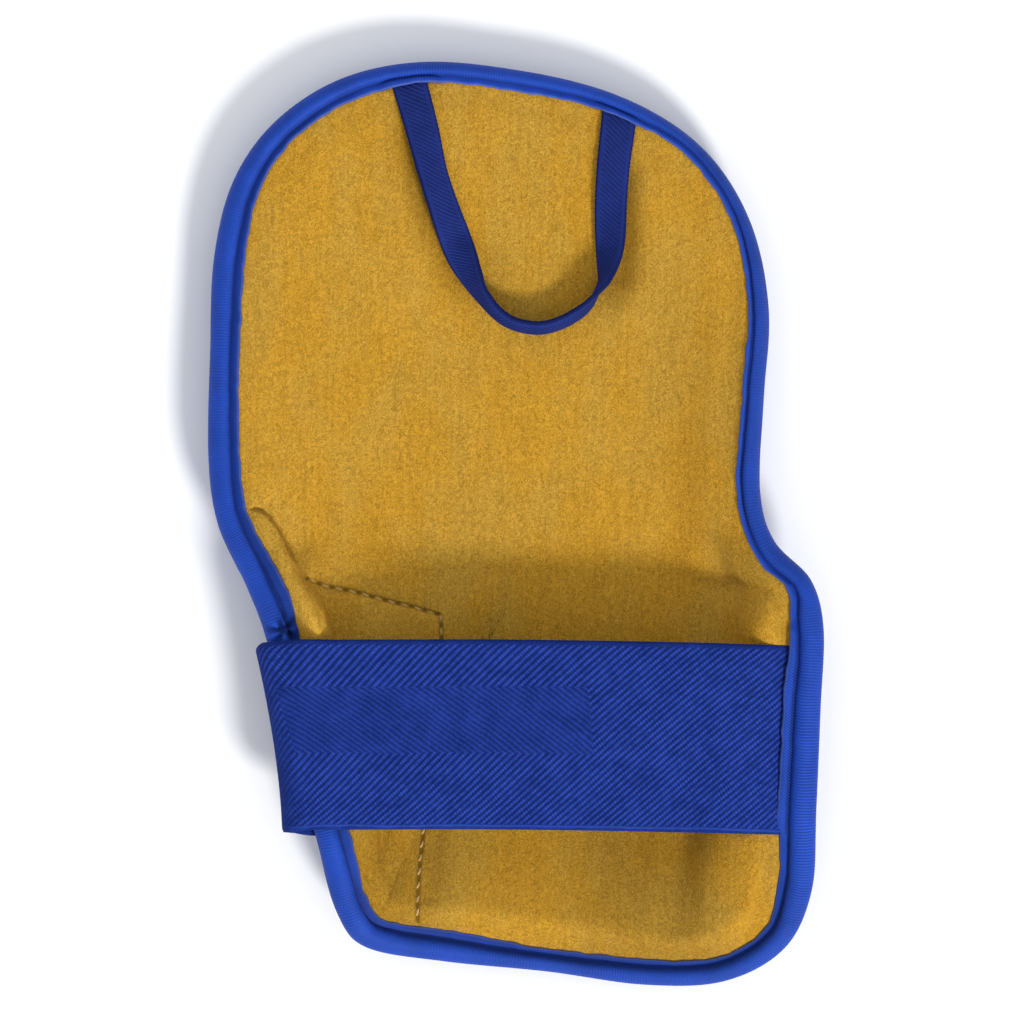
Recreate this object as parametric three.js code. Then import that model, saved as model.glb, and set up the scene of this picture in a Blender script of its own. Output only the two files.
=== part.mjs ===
// Batting hand protector, lying on its outer face with the lining up.
// Millimetres. +Z is up, +Y points to the fingers, and the origin is under the middle of the guard.
import * as THREE from "three";
import { ParametricGeometry } from "three/addons/geometries/ParametricGeometry.js";

// Layers of the panel, measured square to it. The edge stack is what the binding folds round.
const EDGE_HALF = 1.7; // half the thickness of the edge stack
const LINING_THICK = 1.2;
const LINING_GAP = 0.7; // between the lining and the foam, whose flat faces differ on the curved flanks
const PAD_LOWER_HALF = 4.0; // from the middle of the edge stack down to the outer face, away from the edge
const REST_SINK = 0.4; // how far the foam is pressed flat where the guard rests
const FLOOR_Z = PAD_LOWER_HALF - REST_SINK; // height of the middle of the stack over the resting face
const THIN_EDGE = 4.2; // width of the thin edge that the binding holds
const FULL_THICK = 13; // distance from the edge where the pad reaches its full thickness
const GENTLE_POWER = 1.6; // how the gentle slope of the panel steepens towards the edge

// The outline of the edge roll seen from above, anticlockwise from the top, with the height z of the roll's
// middle and the visible width of the binding tape there. The panel rises to the edge from its floor: the
// rise starts at a share flat of the way out and is steep from share foot to share brow. The gentle slope
// takes the share soft of the height.
const PLAN_SHIFT = { x: 0.3, y: -0.05 }; // puts the middle of the outline's box on the origin
const OUTLINE = [
  { x: 1.0, y: 90.8, z: 6.0, tape: 4.5, flat: 0.3, foot: 0.6, brow: 1.0, soft: 1.0 },
  { x: -18.4, y: 92.6, z: 6.0, tape: 4.3, flat: 0.3, foot: 0.6, brow: 1.0, soft: 1.0 },
  { x: -35.0, y: 89.4, z: 6.2, tape: 5.4, flat: 0.3, foot: 0.6, brow: 1.0, soft: 1.0 },
  { x: -48.2, y: 80.8, z: 6.8, tape: 5.6, flat: 0.35, foot: 0.6, brow: 1.0, soft: 1.0 },
  { x: -56.8, y: 68.8, z: 7.6, tape: 5.8, flat: 0.4, foot: 0.6, brow: 1.0, soft: 1.0 },
  { x: -60.6, y: 53.0, z: 8.6, tape: 6.4, flat: 0.42, foot: 0.6, brow: 1.0, soft: 1.0 },
  { x: -61.4, y: 34.0, z: 9.6, tape: 6.4, flat: 0.38, foot: 0.6, brow: 1.0, soft: 1.0 },
  { x: -61.7, y: 14.0, z: 10.8, tape: 6.4, flat: 0.32, foot: 0.65, brow: 0.96, soft: 0.95 },
  { x: -60.0, y: 0.2, z: 12.0, tape: 6.4, flat: 0.25, foot: 0.7, brow: 0.94, soft: 0.9 },
  { x: -54.0, y: -13.1, z: 13.8, tape: 7.0, flat: 0.16, foot: 0.72, brow: 0.96, soft: 0.88 },
  { x: -50.0, y: -23.1, z: 15.2, tape: 7.0, flat: 0.08, foot: 0.7, brow: 1.0, soft: 0.92 },
  { x: -45.0, y: -42.9, z: 15.8, tape: 7.0, flat: 0.02, foot: 0.7, brow: 1.0, soft: 1.0 },
  { x: -39.9, y: -62.8, z: 15.0, tape: 7.0, flat: 0.04, foot: 0.7, brow: 1.0, soft: 1.0 },
  { x: -36.2, y: -76.9, z: 12.5, tape: 7.0, flat: 0.14, foot: 0.7, brow: 1.0, soft: 1.0 },
  { x: -30.3, y: -84.5, z: 9.2, tape: 7.0, flat: 0.28, foot: 0.7, brow: 1.0, soft: 1.0 },
  { x: -14.4, y: -87.6, z: 6.6, tape: 6.6, flat: 0.42, foot: 0.7, brow: 1.0, soft: 1.0 },
  { x: 6.0, y: -89.7, z: 5.6, tape: 5.2, flat: 0.5, foot: 0.7, brow: 1.0, soft: 1.0 },
  { x: 25.6, y: -92.3, z: 6.2, tape: 5.4, flat: 0.5, foot: 0.7, brow: 1.0, soft: 0.9 },
  { x: 41.6, y: -91.4, z: 8.2, tape: 5.6, flat: 0.5, foot: 0.56, brow: 0.9, soft: 0.7 },
  { x: 53.4, y: -84.6, z: 11.0, tape: 5.8, flat: 0.5, foot: 0.52, brow: 0.86, soft: 0.45 },
  { x: 58.7, y: -72.8, z: 13.6, tape: 6.8, flat: 0.5, foot: 0.5, brow: 0.84, soft: 0.34 },
  { x: 59.5, y: -56.5, z: 15.8, tape: 7.2, flat: 0.5, foot: 0.56, brow: 0.86, soft: 0.3 },
  { x: 60.3, y: -36.7, z: 16.6, tape: 7.2, flat: 0.5, foot: 0.6, brow: 0.88, soft: 0.28 },
  { x: 60.9, y: -20.8, z: 16.4, tape: 6.8, flat: 0.5, foot: 0.6, brow: 0.88, soft: 0.3 },
  { x: 58.4, y: -11.1, z: 15.6, tape: 6.0, flat: 0.5, foot: 0.62, brow: 0.92, soft: 0.36 },
  { x: 51.3, y: -3.2, z: 14.2, tape: 5.4, flat: 0.46, foot: 0.62, brow: 0.96, soft: 0.5 },
  { x: 48.4, y: 6.8, z: 13.2, tape: 5.0, flat: 0.44, foot: 0.64, brow: 1.0, soft: 0.7 },
  { x: 49.1, y: 25.0, z: 12.6, tape: 4.6, flat: 0.4, foot: 0.64, brow: 1.0, soft: 0.9 },
  { x: 50.2, y: 43.2, z: 11.6, tape: 4.4, flat: 0.35, foot: 0.62, brow: 1.0, soft: 1.0 },
  { x: 46.7, y: 61.2, z: 10.0, tape: 4.3, flat: 0.3, foot: 0.6, brow: 1.0, soft: 1.0 },
  { x: 36.7, y: 76.4, z: 8.2, tape: 4.3, flat: 0.3, foot: 0.6, brow: 1.0, soft: 1.0 },
  { x: 20.3, y: 86.2, z: 6.8, tape: 4.6, flat: 0.3, foot: 0.6, brow: 1.0, soft: 1.0 },
];
const MIDDLE = { x: 2, y: -8 }; // the rings of the panel shrink to this point

// Creases, hollows and ridges of the lining: from one end to the other, with half the width and the depth,
// which is negative on a ridge.
const FOLDS = [
  { name: "waist ridge beside the edge", x1: -51, y1: -3, x2: -42, y2: -19, half: 4, depth: -1.0 },
  { name: "waist crease, upper", x1: -50, y1: 3, x2: -45, y2: -5, half: 3.5, depth: 1.4 },
  { name: "waist crease, lower", x1: -45, y1: -5, x2: -37, y2: -22, half: 4, depth: 1.2 },
  { name: "right furrow over the strap", x1: 44, y1: -4, x2: 42, y2: -24, half: 5, depth: 1.0 },
  { name: "right furrow under the strap", x1: 35, y1: -60, x2: 34, y2: -84, half: 6, depth: 1.0 },
  { name: "left furrow under the strap", x1: -27, y1: -60, x2: -28, y2: -75, half: 4, depth: 1.0 },
  { name: "long hollow of the back", x1: 30, y1: 35, x2: 32, y2: -16, half: 7, depth: 0.5 },
  { name: "valley by the right shoulder", x1: 44.0, y1: -6, x2: 42.4, y2: -24, half: 3.2, depth: 1.3 },
  { name: "valley along the seam", x1: -17.8, y1: -60, x2: -18.8, y2: -80, half: 3.6, depth: 1.6 },
  { name: "rise beside the wrist edge", x1: -10, y1: -77, x2: 28, y2: -79, half: 15, depth: -1.6 },
  { name: "valley beside the loop", x1: 22.4, y1: 70, x2: 21.6, y2: 50, half: 2.6, depth: 1.0 },
  { name: "furrow by the left edge", x1: -26.9, y1: -60, x2: -28.4, y2: -80, half: 1.5, depth: 0.7 },
];
const FOLD_FADE = { from: 4, to: 9 }; // distance from the edge over which the folds appear

// The section of the binding where the tape shows 5.8 mm wide: a roll round the edge, a sewn groove beside it
// and a narrow flange past the groove. Elsewhere its insets grow and shrink with the tape's width.
const TAPE_SHOWN = 5.8;
const ROLL_RADIUS = 3.0;
const BINDING_INNER = 2.0; // half the space that the edge stack has inside the binding
const FLANGE = [
  { inset: 2.8, up: 2.45 },
  { inset: 1.9, up: 2.65 },
  { inset: 1.3, up: 2.3 },
  { inset: 0.5, up: 2.95 },
];
const ROLL_STEPS = 4; // flat faces round the outside of the roll

// The wrist strap: y of its upper edge, and the height of its middle line at named places across the guard.
const STRAP = { width: 37.6, thick: 1.6, edgeY: -22.9, endX: 52.2, endSlant: -1.6, endDrop: 1.2 };
const STRAP_RUN = [
  { x: 52.2, z: 18.9 },
  { x: 47.0, z: 19.6 },
  { x: 36.0, z: 20.2 },
  { x: 0.0, z: 20.5 },
  { x: -34.0, z: 20.7 },
];
// Its fold round the left edge: the line that it reaches out to, and the middle line's way round from there.
const STRAP_FOLD_LINE = { upperX: -52.0, lowerX: -46.4, bow: 1.6 };
const STRAP_FOLD = [
  { inset: 6.5, z: 20.7 },
  { inset: 2.4, z: 19.8 },
  { inset: 0.0, z: 16.2 },
  { inset: 1.4, z: 12.6 },
];
const STRAP_TAIL = { endX: -26, shiftY: -1.5, inset: 7, points: 4 }; // inset is where it meets the outer face

// The fastener pile on the outer face, under the left flank of the wrist part.
const PATCH = { thick: 1.2, gap: 0.6, edgeInset: 4.4 };
const PATCH_RIGHT = { upperX: -14.4, upperY: -18.4, lowerX: -19.5, lowerY: -77.5 }; // its inner side
const PATCH_RIM = { from: 9.1, to: 13.4 }; // the rows of the outline between which it meets the edge

// The finger loop: its middle line seen from above, and how far the tape has turned about that line.
const LOOP_TAPE = { width: 6.35, thick: 1.0 };
const LOOP = [
  { x: 20.4, y: 79.4, turn: 0, lift: 0.6 },
  { x: 19.4, y: 72.0, turn: 0, lift: 0.6 },
  { x: 18.8, y: 65.0, turn: 6, lift: 0.6 },
  { x: 18.7, y: 60.4, turn: 16, lift: 0.6 },
  { x: 18.6, y: 56.0, turn: 29, lift: 0.6 },
  { x: 18.1, y: 51.6, turn: 52, lift: 0.6 },
  { x: 17.0, y: 47.4, turn: 80, lift: 0.5 },
  { x: 12.4, y: 42.3, turn: 110, lift: 0.4 },
  { x: 5.0, y: 39.3, turn: 114, lift: 0.4 },
  { x: -2.0, y: 40.8, turn: 114, lift: 0.4 },
  { x: -7.2, y: 46.0, turn: 119, lift: 0.4 },
  { x: -9.2, y: 49.6, turn: 134, lift: 0.5 },
  { x: -10.8, y: 53.0, turn: 156, lift: 0.6 },
  { x: -12.5, y: 57.4, turn: 182, lift: 0.6 },
  { x: -14.2, y: 62.0, turn: 200, lift: 0.6 },
  { x: -16.8, y: 70.0, turn: 207, lift: 0.6 },
  { x: -19.0, y: 79.0, turn: 190, lift: 0.6 },
  { x: -20.9, y: 87.0, turn: 180, lift: 0.6 },
];

// How finely each piece is divided.
const PANEL = { around: 84, rings: 9 };
const STRAP_PARTS = { along: 40, across: 6 };
const PATCH_PARTS = { along: 8, across: 12 };
const LOOP_PARTS = { along: 64, across: 2 };

const SMALL_STEP = 1e-3; // for slopes
const HALVINGS = 24; // of the span in which a place round the edge is looked for

const outline = new THREE.CatmullRomCurve3(
  OUTLINE.map((row) => new THREE.Vector3(row.x + PLAN_SHIFT.x, row.y + PLAN_SHIFT.y, row.z)),
  true,
  "catmullrom",
);
const wrapped = (t) => ((t % 1) + 1) % 1;
const smooth = (from, to, value) => THREE.MathUtils.smoothstep(value, from, to);

// A column of the outline's table at a share t of the way round, eased from row to row.
function column(name, t) {
  const place = wrapped(t) * OUTLINE.length;
  const row = Math.floor(place);
  const next = OUTLINE[(row + 1) % OUTLINE.length];
  return THREE.MathUtils.lerp(OUTLINE[row][name], next[name], smooth(0, 1, place - row));
}

// How much the binding's section is widened at a share t of the way round.
function widening(t) {
  return column("tape", t) / TAPE_SHOWN;
}

// The middle line of the edge roll, and the direction out of the guard, at a share t of the way round.
function edgeLine(t) {
  const at = wrapped(t);
  const point = outline.getPoint(at);
  const before = outline.getPoint(wrapped(at - SMALL_STEP));
  const after = outline.getPoint(wrapped(at + SMALL_STEP));
  const out = new THREE.Vector2(after.y - before.y, before.x - after.x).normalize();
  const roll = ROLL_RADIUS * widening(at);
  point.x -= roll * out.x;
  point.y -= roll * out.y;
  return { point, out };
}

// The middle surface of the panel, at a share t round the edge and a share r of the way out to it.
function middleSurface(t, r) {
  const { point } = edgeLine(t);
  const flat = column("flat", t);
  const soft = column("soft", t);
  const gentle = Math.max(0, (r - flat) / (1 - flat));
  const steep = smooth(column("foot", t), column("brow", t), r);
  return new THREE.Vector3(
    MIDDLE.x + (point.x - MIDDLE.x) * r,
    MIDDLE.y + (point.y - MIDDLE.y) * r,
    FLOOR_Z + (point.z - FLOOR_Z) * (soft * gentle ** GENTLE_POWER + (1 - soft) * steep),
  );
}

// The direction square to the middle surface, on the lining's side. The panel is level at its middle point.
function squareTo(t, r) {
  if (r < 2 * SMALL_STEP) return new THREE.Vector3(0, 0, 1);
  const round = middleSurface(t + SMALL_STEP, r).sub(middleSurface(t - SMALL_STEP, r));
  const outwards = middleSurface(t, r + SMALL_STEP).sub(middleSurface(t, r - SMALL_STEP));
  return outwards.cross(round).normalize();
}

// The distance, seen from above, from the panel's middle point to its edge, square to the edge.
function reach(t) {
  const { point, out } = edgeLine(t);
  return (point.x - MIDDLE.x) * out.x + (point.y - MIDDLE.y) * out.y;
}

// The place (t, r) of a point seen from above.
function placeOf(x, y) {
  const side = (t) => {
    const { point } = edgeLine(t);
    return (point.x - MIDDLE.x) * (y - MIDDLE.y) - (point.y - MIDDLE.y) * (x - MIDDLE.x);
  };
  const ahead = (t) => {
    const { point } = edgeLine(t);
    return (point.x - MIDDLE.x) * (x - MIDDLE.x) + (point.y - MIDDLE.y) * (y - MIDDLE.y) > 0;
  };
  const steps = OUTLINE.length * 2;
  let low = 0;
  for (let step = 0; step < steps; step++)
    if (side(step / steps) >= 0 && side((step + 1) / steps) < 0 && ahead(step / steps)) low = step / steps;
  let high = low + 1 / steps;
  for (let halving = 0; halving < HALVINGS; halving++) {
    const half = (low + high) / 2;
    if (side(half) >= 0) low = half;
    else high = half;
  }
  const { point } = edgeLine(low);
  const whole = Math.hypot(point.x - MIDDLE.x, point.y - MIDDLE.y);
  return { t: low, r: Math.hypot(x - MIDDLE.x, y - MIDDLE.y) / whole };
}

// How deep the folds are at a place seen from above, at a distance from the edge.
function foldDepth(x, y, inset) {
  let depth = 0;
  for (const fold of FOLDS) {
    const along = new THREE.Vector2(fold.x2 - fold.x1, fold.y2 - fold.y1);
    const from = new THREE.Vector2(x - fold.x1, y - fold.y1);
    const share = THREE.MathUtils.clamp(from.dot(along) / along.lengthSq(), 0, 1);
    const distance = from.sub(along.multiplyScalar(share)).length();
    depth += fold.depth * Math.exp(-((distance / fold.half) ** 2));
  }
  return depth * smooth(FOLD_FADE.from, FOLD_FADE.to, inset);
}

// A point of the panel at a height square to the middle surface.
function panelPoint(t, r, height) {
  return middleSurface(t, r).addScaledVector(squareTo(t, r), height);
}

function upperPoint(t, r, height) {
  const middle = middleSurface(t, r);
  return panelPoint(t, r, height - foldDepth(middle.x, middle.y, (1 - r) * reach(t)));
}

// A point under the panel, at a depth below its outer face.
function underPoint(t, r, depth) {
  const inset = (1 - r) * reach(t);
  const lower = THREE.MathUtils.lerp(EDGE_HALF, PAD_LOWER_HALF, smooth(THIN_EDGE, FULL_THICK, inset));
  const point = panelPoint(t, r, -lower - depth);
  point.z = Math.max(point.z, 0);
  return point;
}

// A layer of the panel: a ball flattened so that its upper half is the upper face and its lower half the
// other. Its last ring but one lies at the inner side of the thin edge.
function layer(upper, lower) {
  const rows = 2 * PANEL.rings + 1;
  const geometry = new THREE.SphereGeometry(1, PANEL.around, rows);
  const points = geometry.attributes.position;
  for (let row = 0; row <= rows; row++)
    for (let column = 0; column <= PANEL.around; column++) {
      const t = column / PANEL.around;
      const ring = Math.min(row, rows - row);
      const inner = (ring / (PANEL.rings - 1)) * (1 - THIN_EDGE / reach(t));
      const face = row <= PANEL.rings ? upper : lower;
      const point = face(t, ring === PANEL.rings ? 1 : inner);
      points.setXYZ(row * (PANEL.around + 1) + column, point.x, point.y, point.z);
    }
  return geometry;
}

// A flat strip bent into shape: bend turns shares along, across and through it into a point.
function strip(parts, bend) {
  const geometry = new THREE.BoxGeometry(1, 1, 1, parts.along, parts.across, 1);
  const points = geometry.attributes.position;
  for (let i = 0; i < points.count; i++) {
    const point = bend(points.getX(i) + 0.5, points.getY(i) + 0.5, points.getZ(i));
    points.setXYZ(i, point.x, point.y, point.z);
  }
  return geometry;
}

function paddedShell() {
  const top = EDGE_HALF - LINING_THICK - LINING_GAP;
  return layer(
    (t, r) => upperPoint(t, r, top),
    (t, r) => underPoint(t, r, 0),
  );
}

function lining() {
  return layer(
    (t, r) => upperPoint(t, r, EDGE_HALF),
    (t, r) => upperPoint(t, r, EDGE_HALF - LINING_THICK),
  );
}

// The section of the binding: over the lining, round the edge, back under the pad, and the way back inside.
function bindingSection() {
  const widest = FLANGE[0].inset;
  const under = FLANGE.map(({ inset, up }) => ({ inset, up: -up })).reverse();
  const roll = Array.from({ length: ROLL_STEPS + 1 }, (_, step) => {
    const angle = Math.PI / 2 - (Math.PI * step) / ROLL_STEPS;
    return { inset: -ROLL_RADIUS * Math.cos(angle), up: ROLL_RADIUS * Math.sin(angle) };
  });
  const inner = [
    { inset: widest, up: -BINDING_INNER },
    { inset: 0, up: -BINDING_INNER },
    { inset: -BINDING_INNER, up: 0 },
    { inset: 0, up: BINDING_INNER },
    { inset: widest, up: BINDING_INNER },
  ];
  return [...FLANGE, ...roll, ...under, ...inner].reverse(); // in this order the faces point out
}

function edgeBinding() {
  const section = bindingSection();
  return new ParametricGeometry(
    (around, across, target) => {
      const t = wrapped(around);
      const row = section[Math.round(across * section.length) % section.length];
      const inset = row.inset * widening(t);
      if (inset > 0) return target.copy(panelPoint(t, 1 - inset / reach(t), row.up));
      const square = squareTo(t, 1);
      const along = middleSurface(t + SMALL_STEP, 1).sub(middleSurface(t - SMALL_STEP, 1)).normalize();
      const out = along.cross(square);
      return target.copy(middleSurface(t, 1)).addScaledVector(out, -inset).addScaledVector(square, row.up);
    },
    PANEL.around,
    section.length,
  );
}

// The strap's middle line at a share of the way across it: over the wrist, round the left edge and back in.
function strapLine(across) {
  const y = STRAP.edgeY - STRAP.width * across;
  const run = STRAP_RUN.map(({ x, z }, place) => {
    const slant = place === 0 ? STRAP.endSlant * across : 0;
    return new THREE.Vector3(x + slant, y - STRAP.endDrop * Math.max(0, x / STRAP.endX) ** 2, z);
  });
  const bowed = 1 - (1 - across) ** STRAP_FOLD_LINE.bow;
  const foldX = THREE.MathUtils.lerp(STRAP_FOLD_LINE.upperX, STRAP_FOLD_LINE.lowerX, bowed) + STRAP.thick / 2;
  const fold = STRAP_FOLD.map(({ inset, z }, place) => {
    const shift = (STRAP_TAIL.shiftY * place) / STRAP_FOLD.length;
    return new THREE.Vector3(foldX + inset, y + shift, z);
  });
  const tail = Array.from({ length: STRAP_TAIL.points }, (_, place) => {
    const share = place / (STRAP_TAIL.points - 1);
    const x = THREE.MathUtils.lerp(foldX + STRAP_TAIL.inset, STRAP_TAIL.endX, share);
    const { t, r } = placeOf(x, y + STRAP_TAIL.shiftY);
    return underPoint(t, r, PATCH.gap + PATCH.thick + PATCH.gap + STRAP.thick / 2);
  });
  return new THREE.CatmullRomCurve3([...run, ...fold, ...tail]);
}

function wristStrap() {
  const lines = Array.from({ length: STRAP_PARTS.across + 1 }, (_, i) => strapLine(i / STRAP_PARTS.across));
  return strip(STRAP_PARTS, (along, across, through) => {
    const line = lines[Math.round(across * STRAP_PARTS.across)];
    const point = line.getPointAt(along);
    const ahead = line.getTangentAt(along);
    const up = new THREE.Vector3(ahead.z, 0, -ahead.x).normalize();
    return point.addScaledVector(up, through * STRAP.thick);
  });
}

function fastenerPatch() {
  return strip(PATCH_PARTS, (along, across, through) => {
    const rim = THREE.MathUtils.lerp(PATCH_RIM.from, PATCH_RIM.to, across) / OUTLINE.length;
    const left = middleSurface(rim, 1 - PATCH.edgeInset / reach(rim));
    const x = THREE.MathUtils.lerp(PATCH_RIGHT.upperX, PATCH_RIGHT.lowerX, across);
    const y = THREE.MathUtils.lerp(PATCH_RIGHT.upperY, PATCH_RIGHT.lowerY, across);
    const { t, r } = placeOf(THREE.MathUtils.lerp(x, left.x, along), THREE.MathUtils.lerp(y, left.y, along));
    return underPoint(t, r, PATCH.gap + PATCH.thick * (0.5 - through));
  });
}

function fingerLoop() {
  const half = LOOP_TAPE.width / 2;
  const rows = LOOP.map((row) => {
    const x = row.x + PLAN_SHIFT.x;
    const y = row.y + PLAN_SHIFT.y;
    const { t, r } = placeOf(x, y);
    const turn = THREE.MathUtils.degToRad(row.turn);
    const standing = half * Math.abs(Math.sin(turn)) + (LOOP_TAPE.thick / 2) * Math.abs(Math.cos(turn));
    const z = upperPoint(t, r, EDGE_HALF).z + row.lift + standing;
    return { point: new THREE.Vector3(x, y, z), turn };
  });
  const line = new THREE.CatmullRomCurve3(rows.map((row) => row.point));
  const turns = new THREE.CatmullRomCurve3(rows.map((row, i) => new THREE.Vector3(i, row.turn, 0)));
  return strip(LOOP_PARTS, (along, across, through) => {
    const share = line.getUtoTmapping(along);
    const point = line.getPoint(share);
    const ahead = line.getTangent(share);
    const turn = turns.getPoint(share).y;
    const outwards = new THREE.Vector3(-ahead.y, ahead.x, 0).normalize();
    const width = outwards.multiplyScalar(Math.cos(turn)).add(new THREE.Vector3(0, 0, Math.sin(turn)));
    const face = ahead.clone().cross(width).normalize();
    return point
      .addScaledVector(width, (across - 0.5) * LOOP_TAPE.width)
      .addScaledVector(face, through * LOOP_TAPE.thick);
  });
}

const blueCover = new THREE.MeshStandardMaterial({ color: 0x263f9c, roughness: 0.6, metalness: 0 });
const goldCloth = new THREE.MeshStandardMaterial({ color: 0xcf9f32, roughness: 0.95, metalness: 0 });
const blueTape = new THREE.MeshStandardMaterial({ color: 0x2850c0, roughness: 0.7, metalness: 0 });
const blueElastic = new THREE.MeshStandardMaterial({ color: 0x1b348c, roughness: 0.8, metalness: 0 });
const darkPile = new THREE.MeshStandardMaterial({ color: 0x16245c, roughness: 1, metalness: 0 });

const PIECES = [
  ["padded_shell", paddedShell(), blueCover],
  ["lining", lining(), goldCloth],
  ["edge_binding", edgeBinding(), blueTape],
  ["finger_loop", fingerLoop(), blueElastic],
  ["wrist_strap", wristStrap(), blueElastic],
  ["fastener_patch", fastenerPatch(), darkPile],
];

const guard = new THREE.Group();
guard.name = "batting_hand_protector";
for (const [name, geometry, material] of PIECES) {
  const piece = new THREE.Mesh(geometry, material);
  piece.name = name;
  guard.add(piece);
}

export default guard;
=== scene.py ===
"""The looks of a batting hand protector: an add-on, run as a script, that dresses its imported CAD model."""

import math
from collections import namedtuple

import bmesh
import bpy
import numpy as np
from bpy.props import FloatProperty, FloatVectorProperty, IntProperty, PointerProperty
from mathutils import Matrix, Vector


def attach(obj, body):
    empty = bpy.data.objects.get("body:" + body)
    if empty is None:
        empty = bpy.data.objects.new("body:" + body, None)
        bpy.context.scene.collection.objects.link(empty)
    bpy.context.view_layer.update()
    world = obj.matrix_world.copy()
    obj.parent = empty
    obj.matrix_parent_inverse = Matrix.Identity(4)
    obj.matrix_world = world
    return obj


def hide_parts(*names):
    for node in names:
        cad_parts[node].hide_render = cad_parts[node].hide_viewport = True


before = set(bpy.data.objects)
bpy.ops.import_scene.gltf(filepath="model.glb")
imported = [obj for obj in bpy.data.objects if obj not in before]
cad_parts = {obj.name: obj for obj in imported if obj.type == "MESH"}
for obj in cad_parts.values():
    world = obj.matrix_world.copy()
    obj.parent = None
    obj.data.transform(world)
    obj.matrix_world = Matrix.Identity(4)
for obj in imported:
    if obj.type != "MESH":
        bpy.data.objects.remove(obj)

bl_info = {
    "name": "Batting hand protector",
    "version": (1, 0, 0),
    "blender": (4, 5, 0),
    "location": "3D View > Sidebar > Hand Protector",
    "description": "Builds a bound, padded guard for the back of the hand, with its lining, loop and strap",
    "category": "Add Mesh",
}

MM = 0.001  # the tables below are in millimetres, as the CAD model's are, and Blender's objects in metres
BODY = "root"

# The panel's layers, measured square to its middle surface, in millimetres.
EDGE_HALF = 1.7
LINING_THICK = 1.2
PAD_TOP = -0.2  # the foam's face under the lining
PAD_LOWER_HALF = 4.0
REST_SINK = 0.4
FLOOR_Z = PAD_LOWER_HALF - REST_SINK
THIN_EDGE = 4.2  # the inset from the edge where the foam starts to thicken
FULL_THICK = 13.0  # and where it has its whole thickness
GENTLE_POWER = 1.6  # how slowly a gentle side starts to rise from the flat middle

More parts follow.
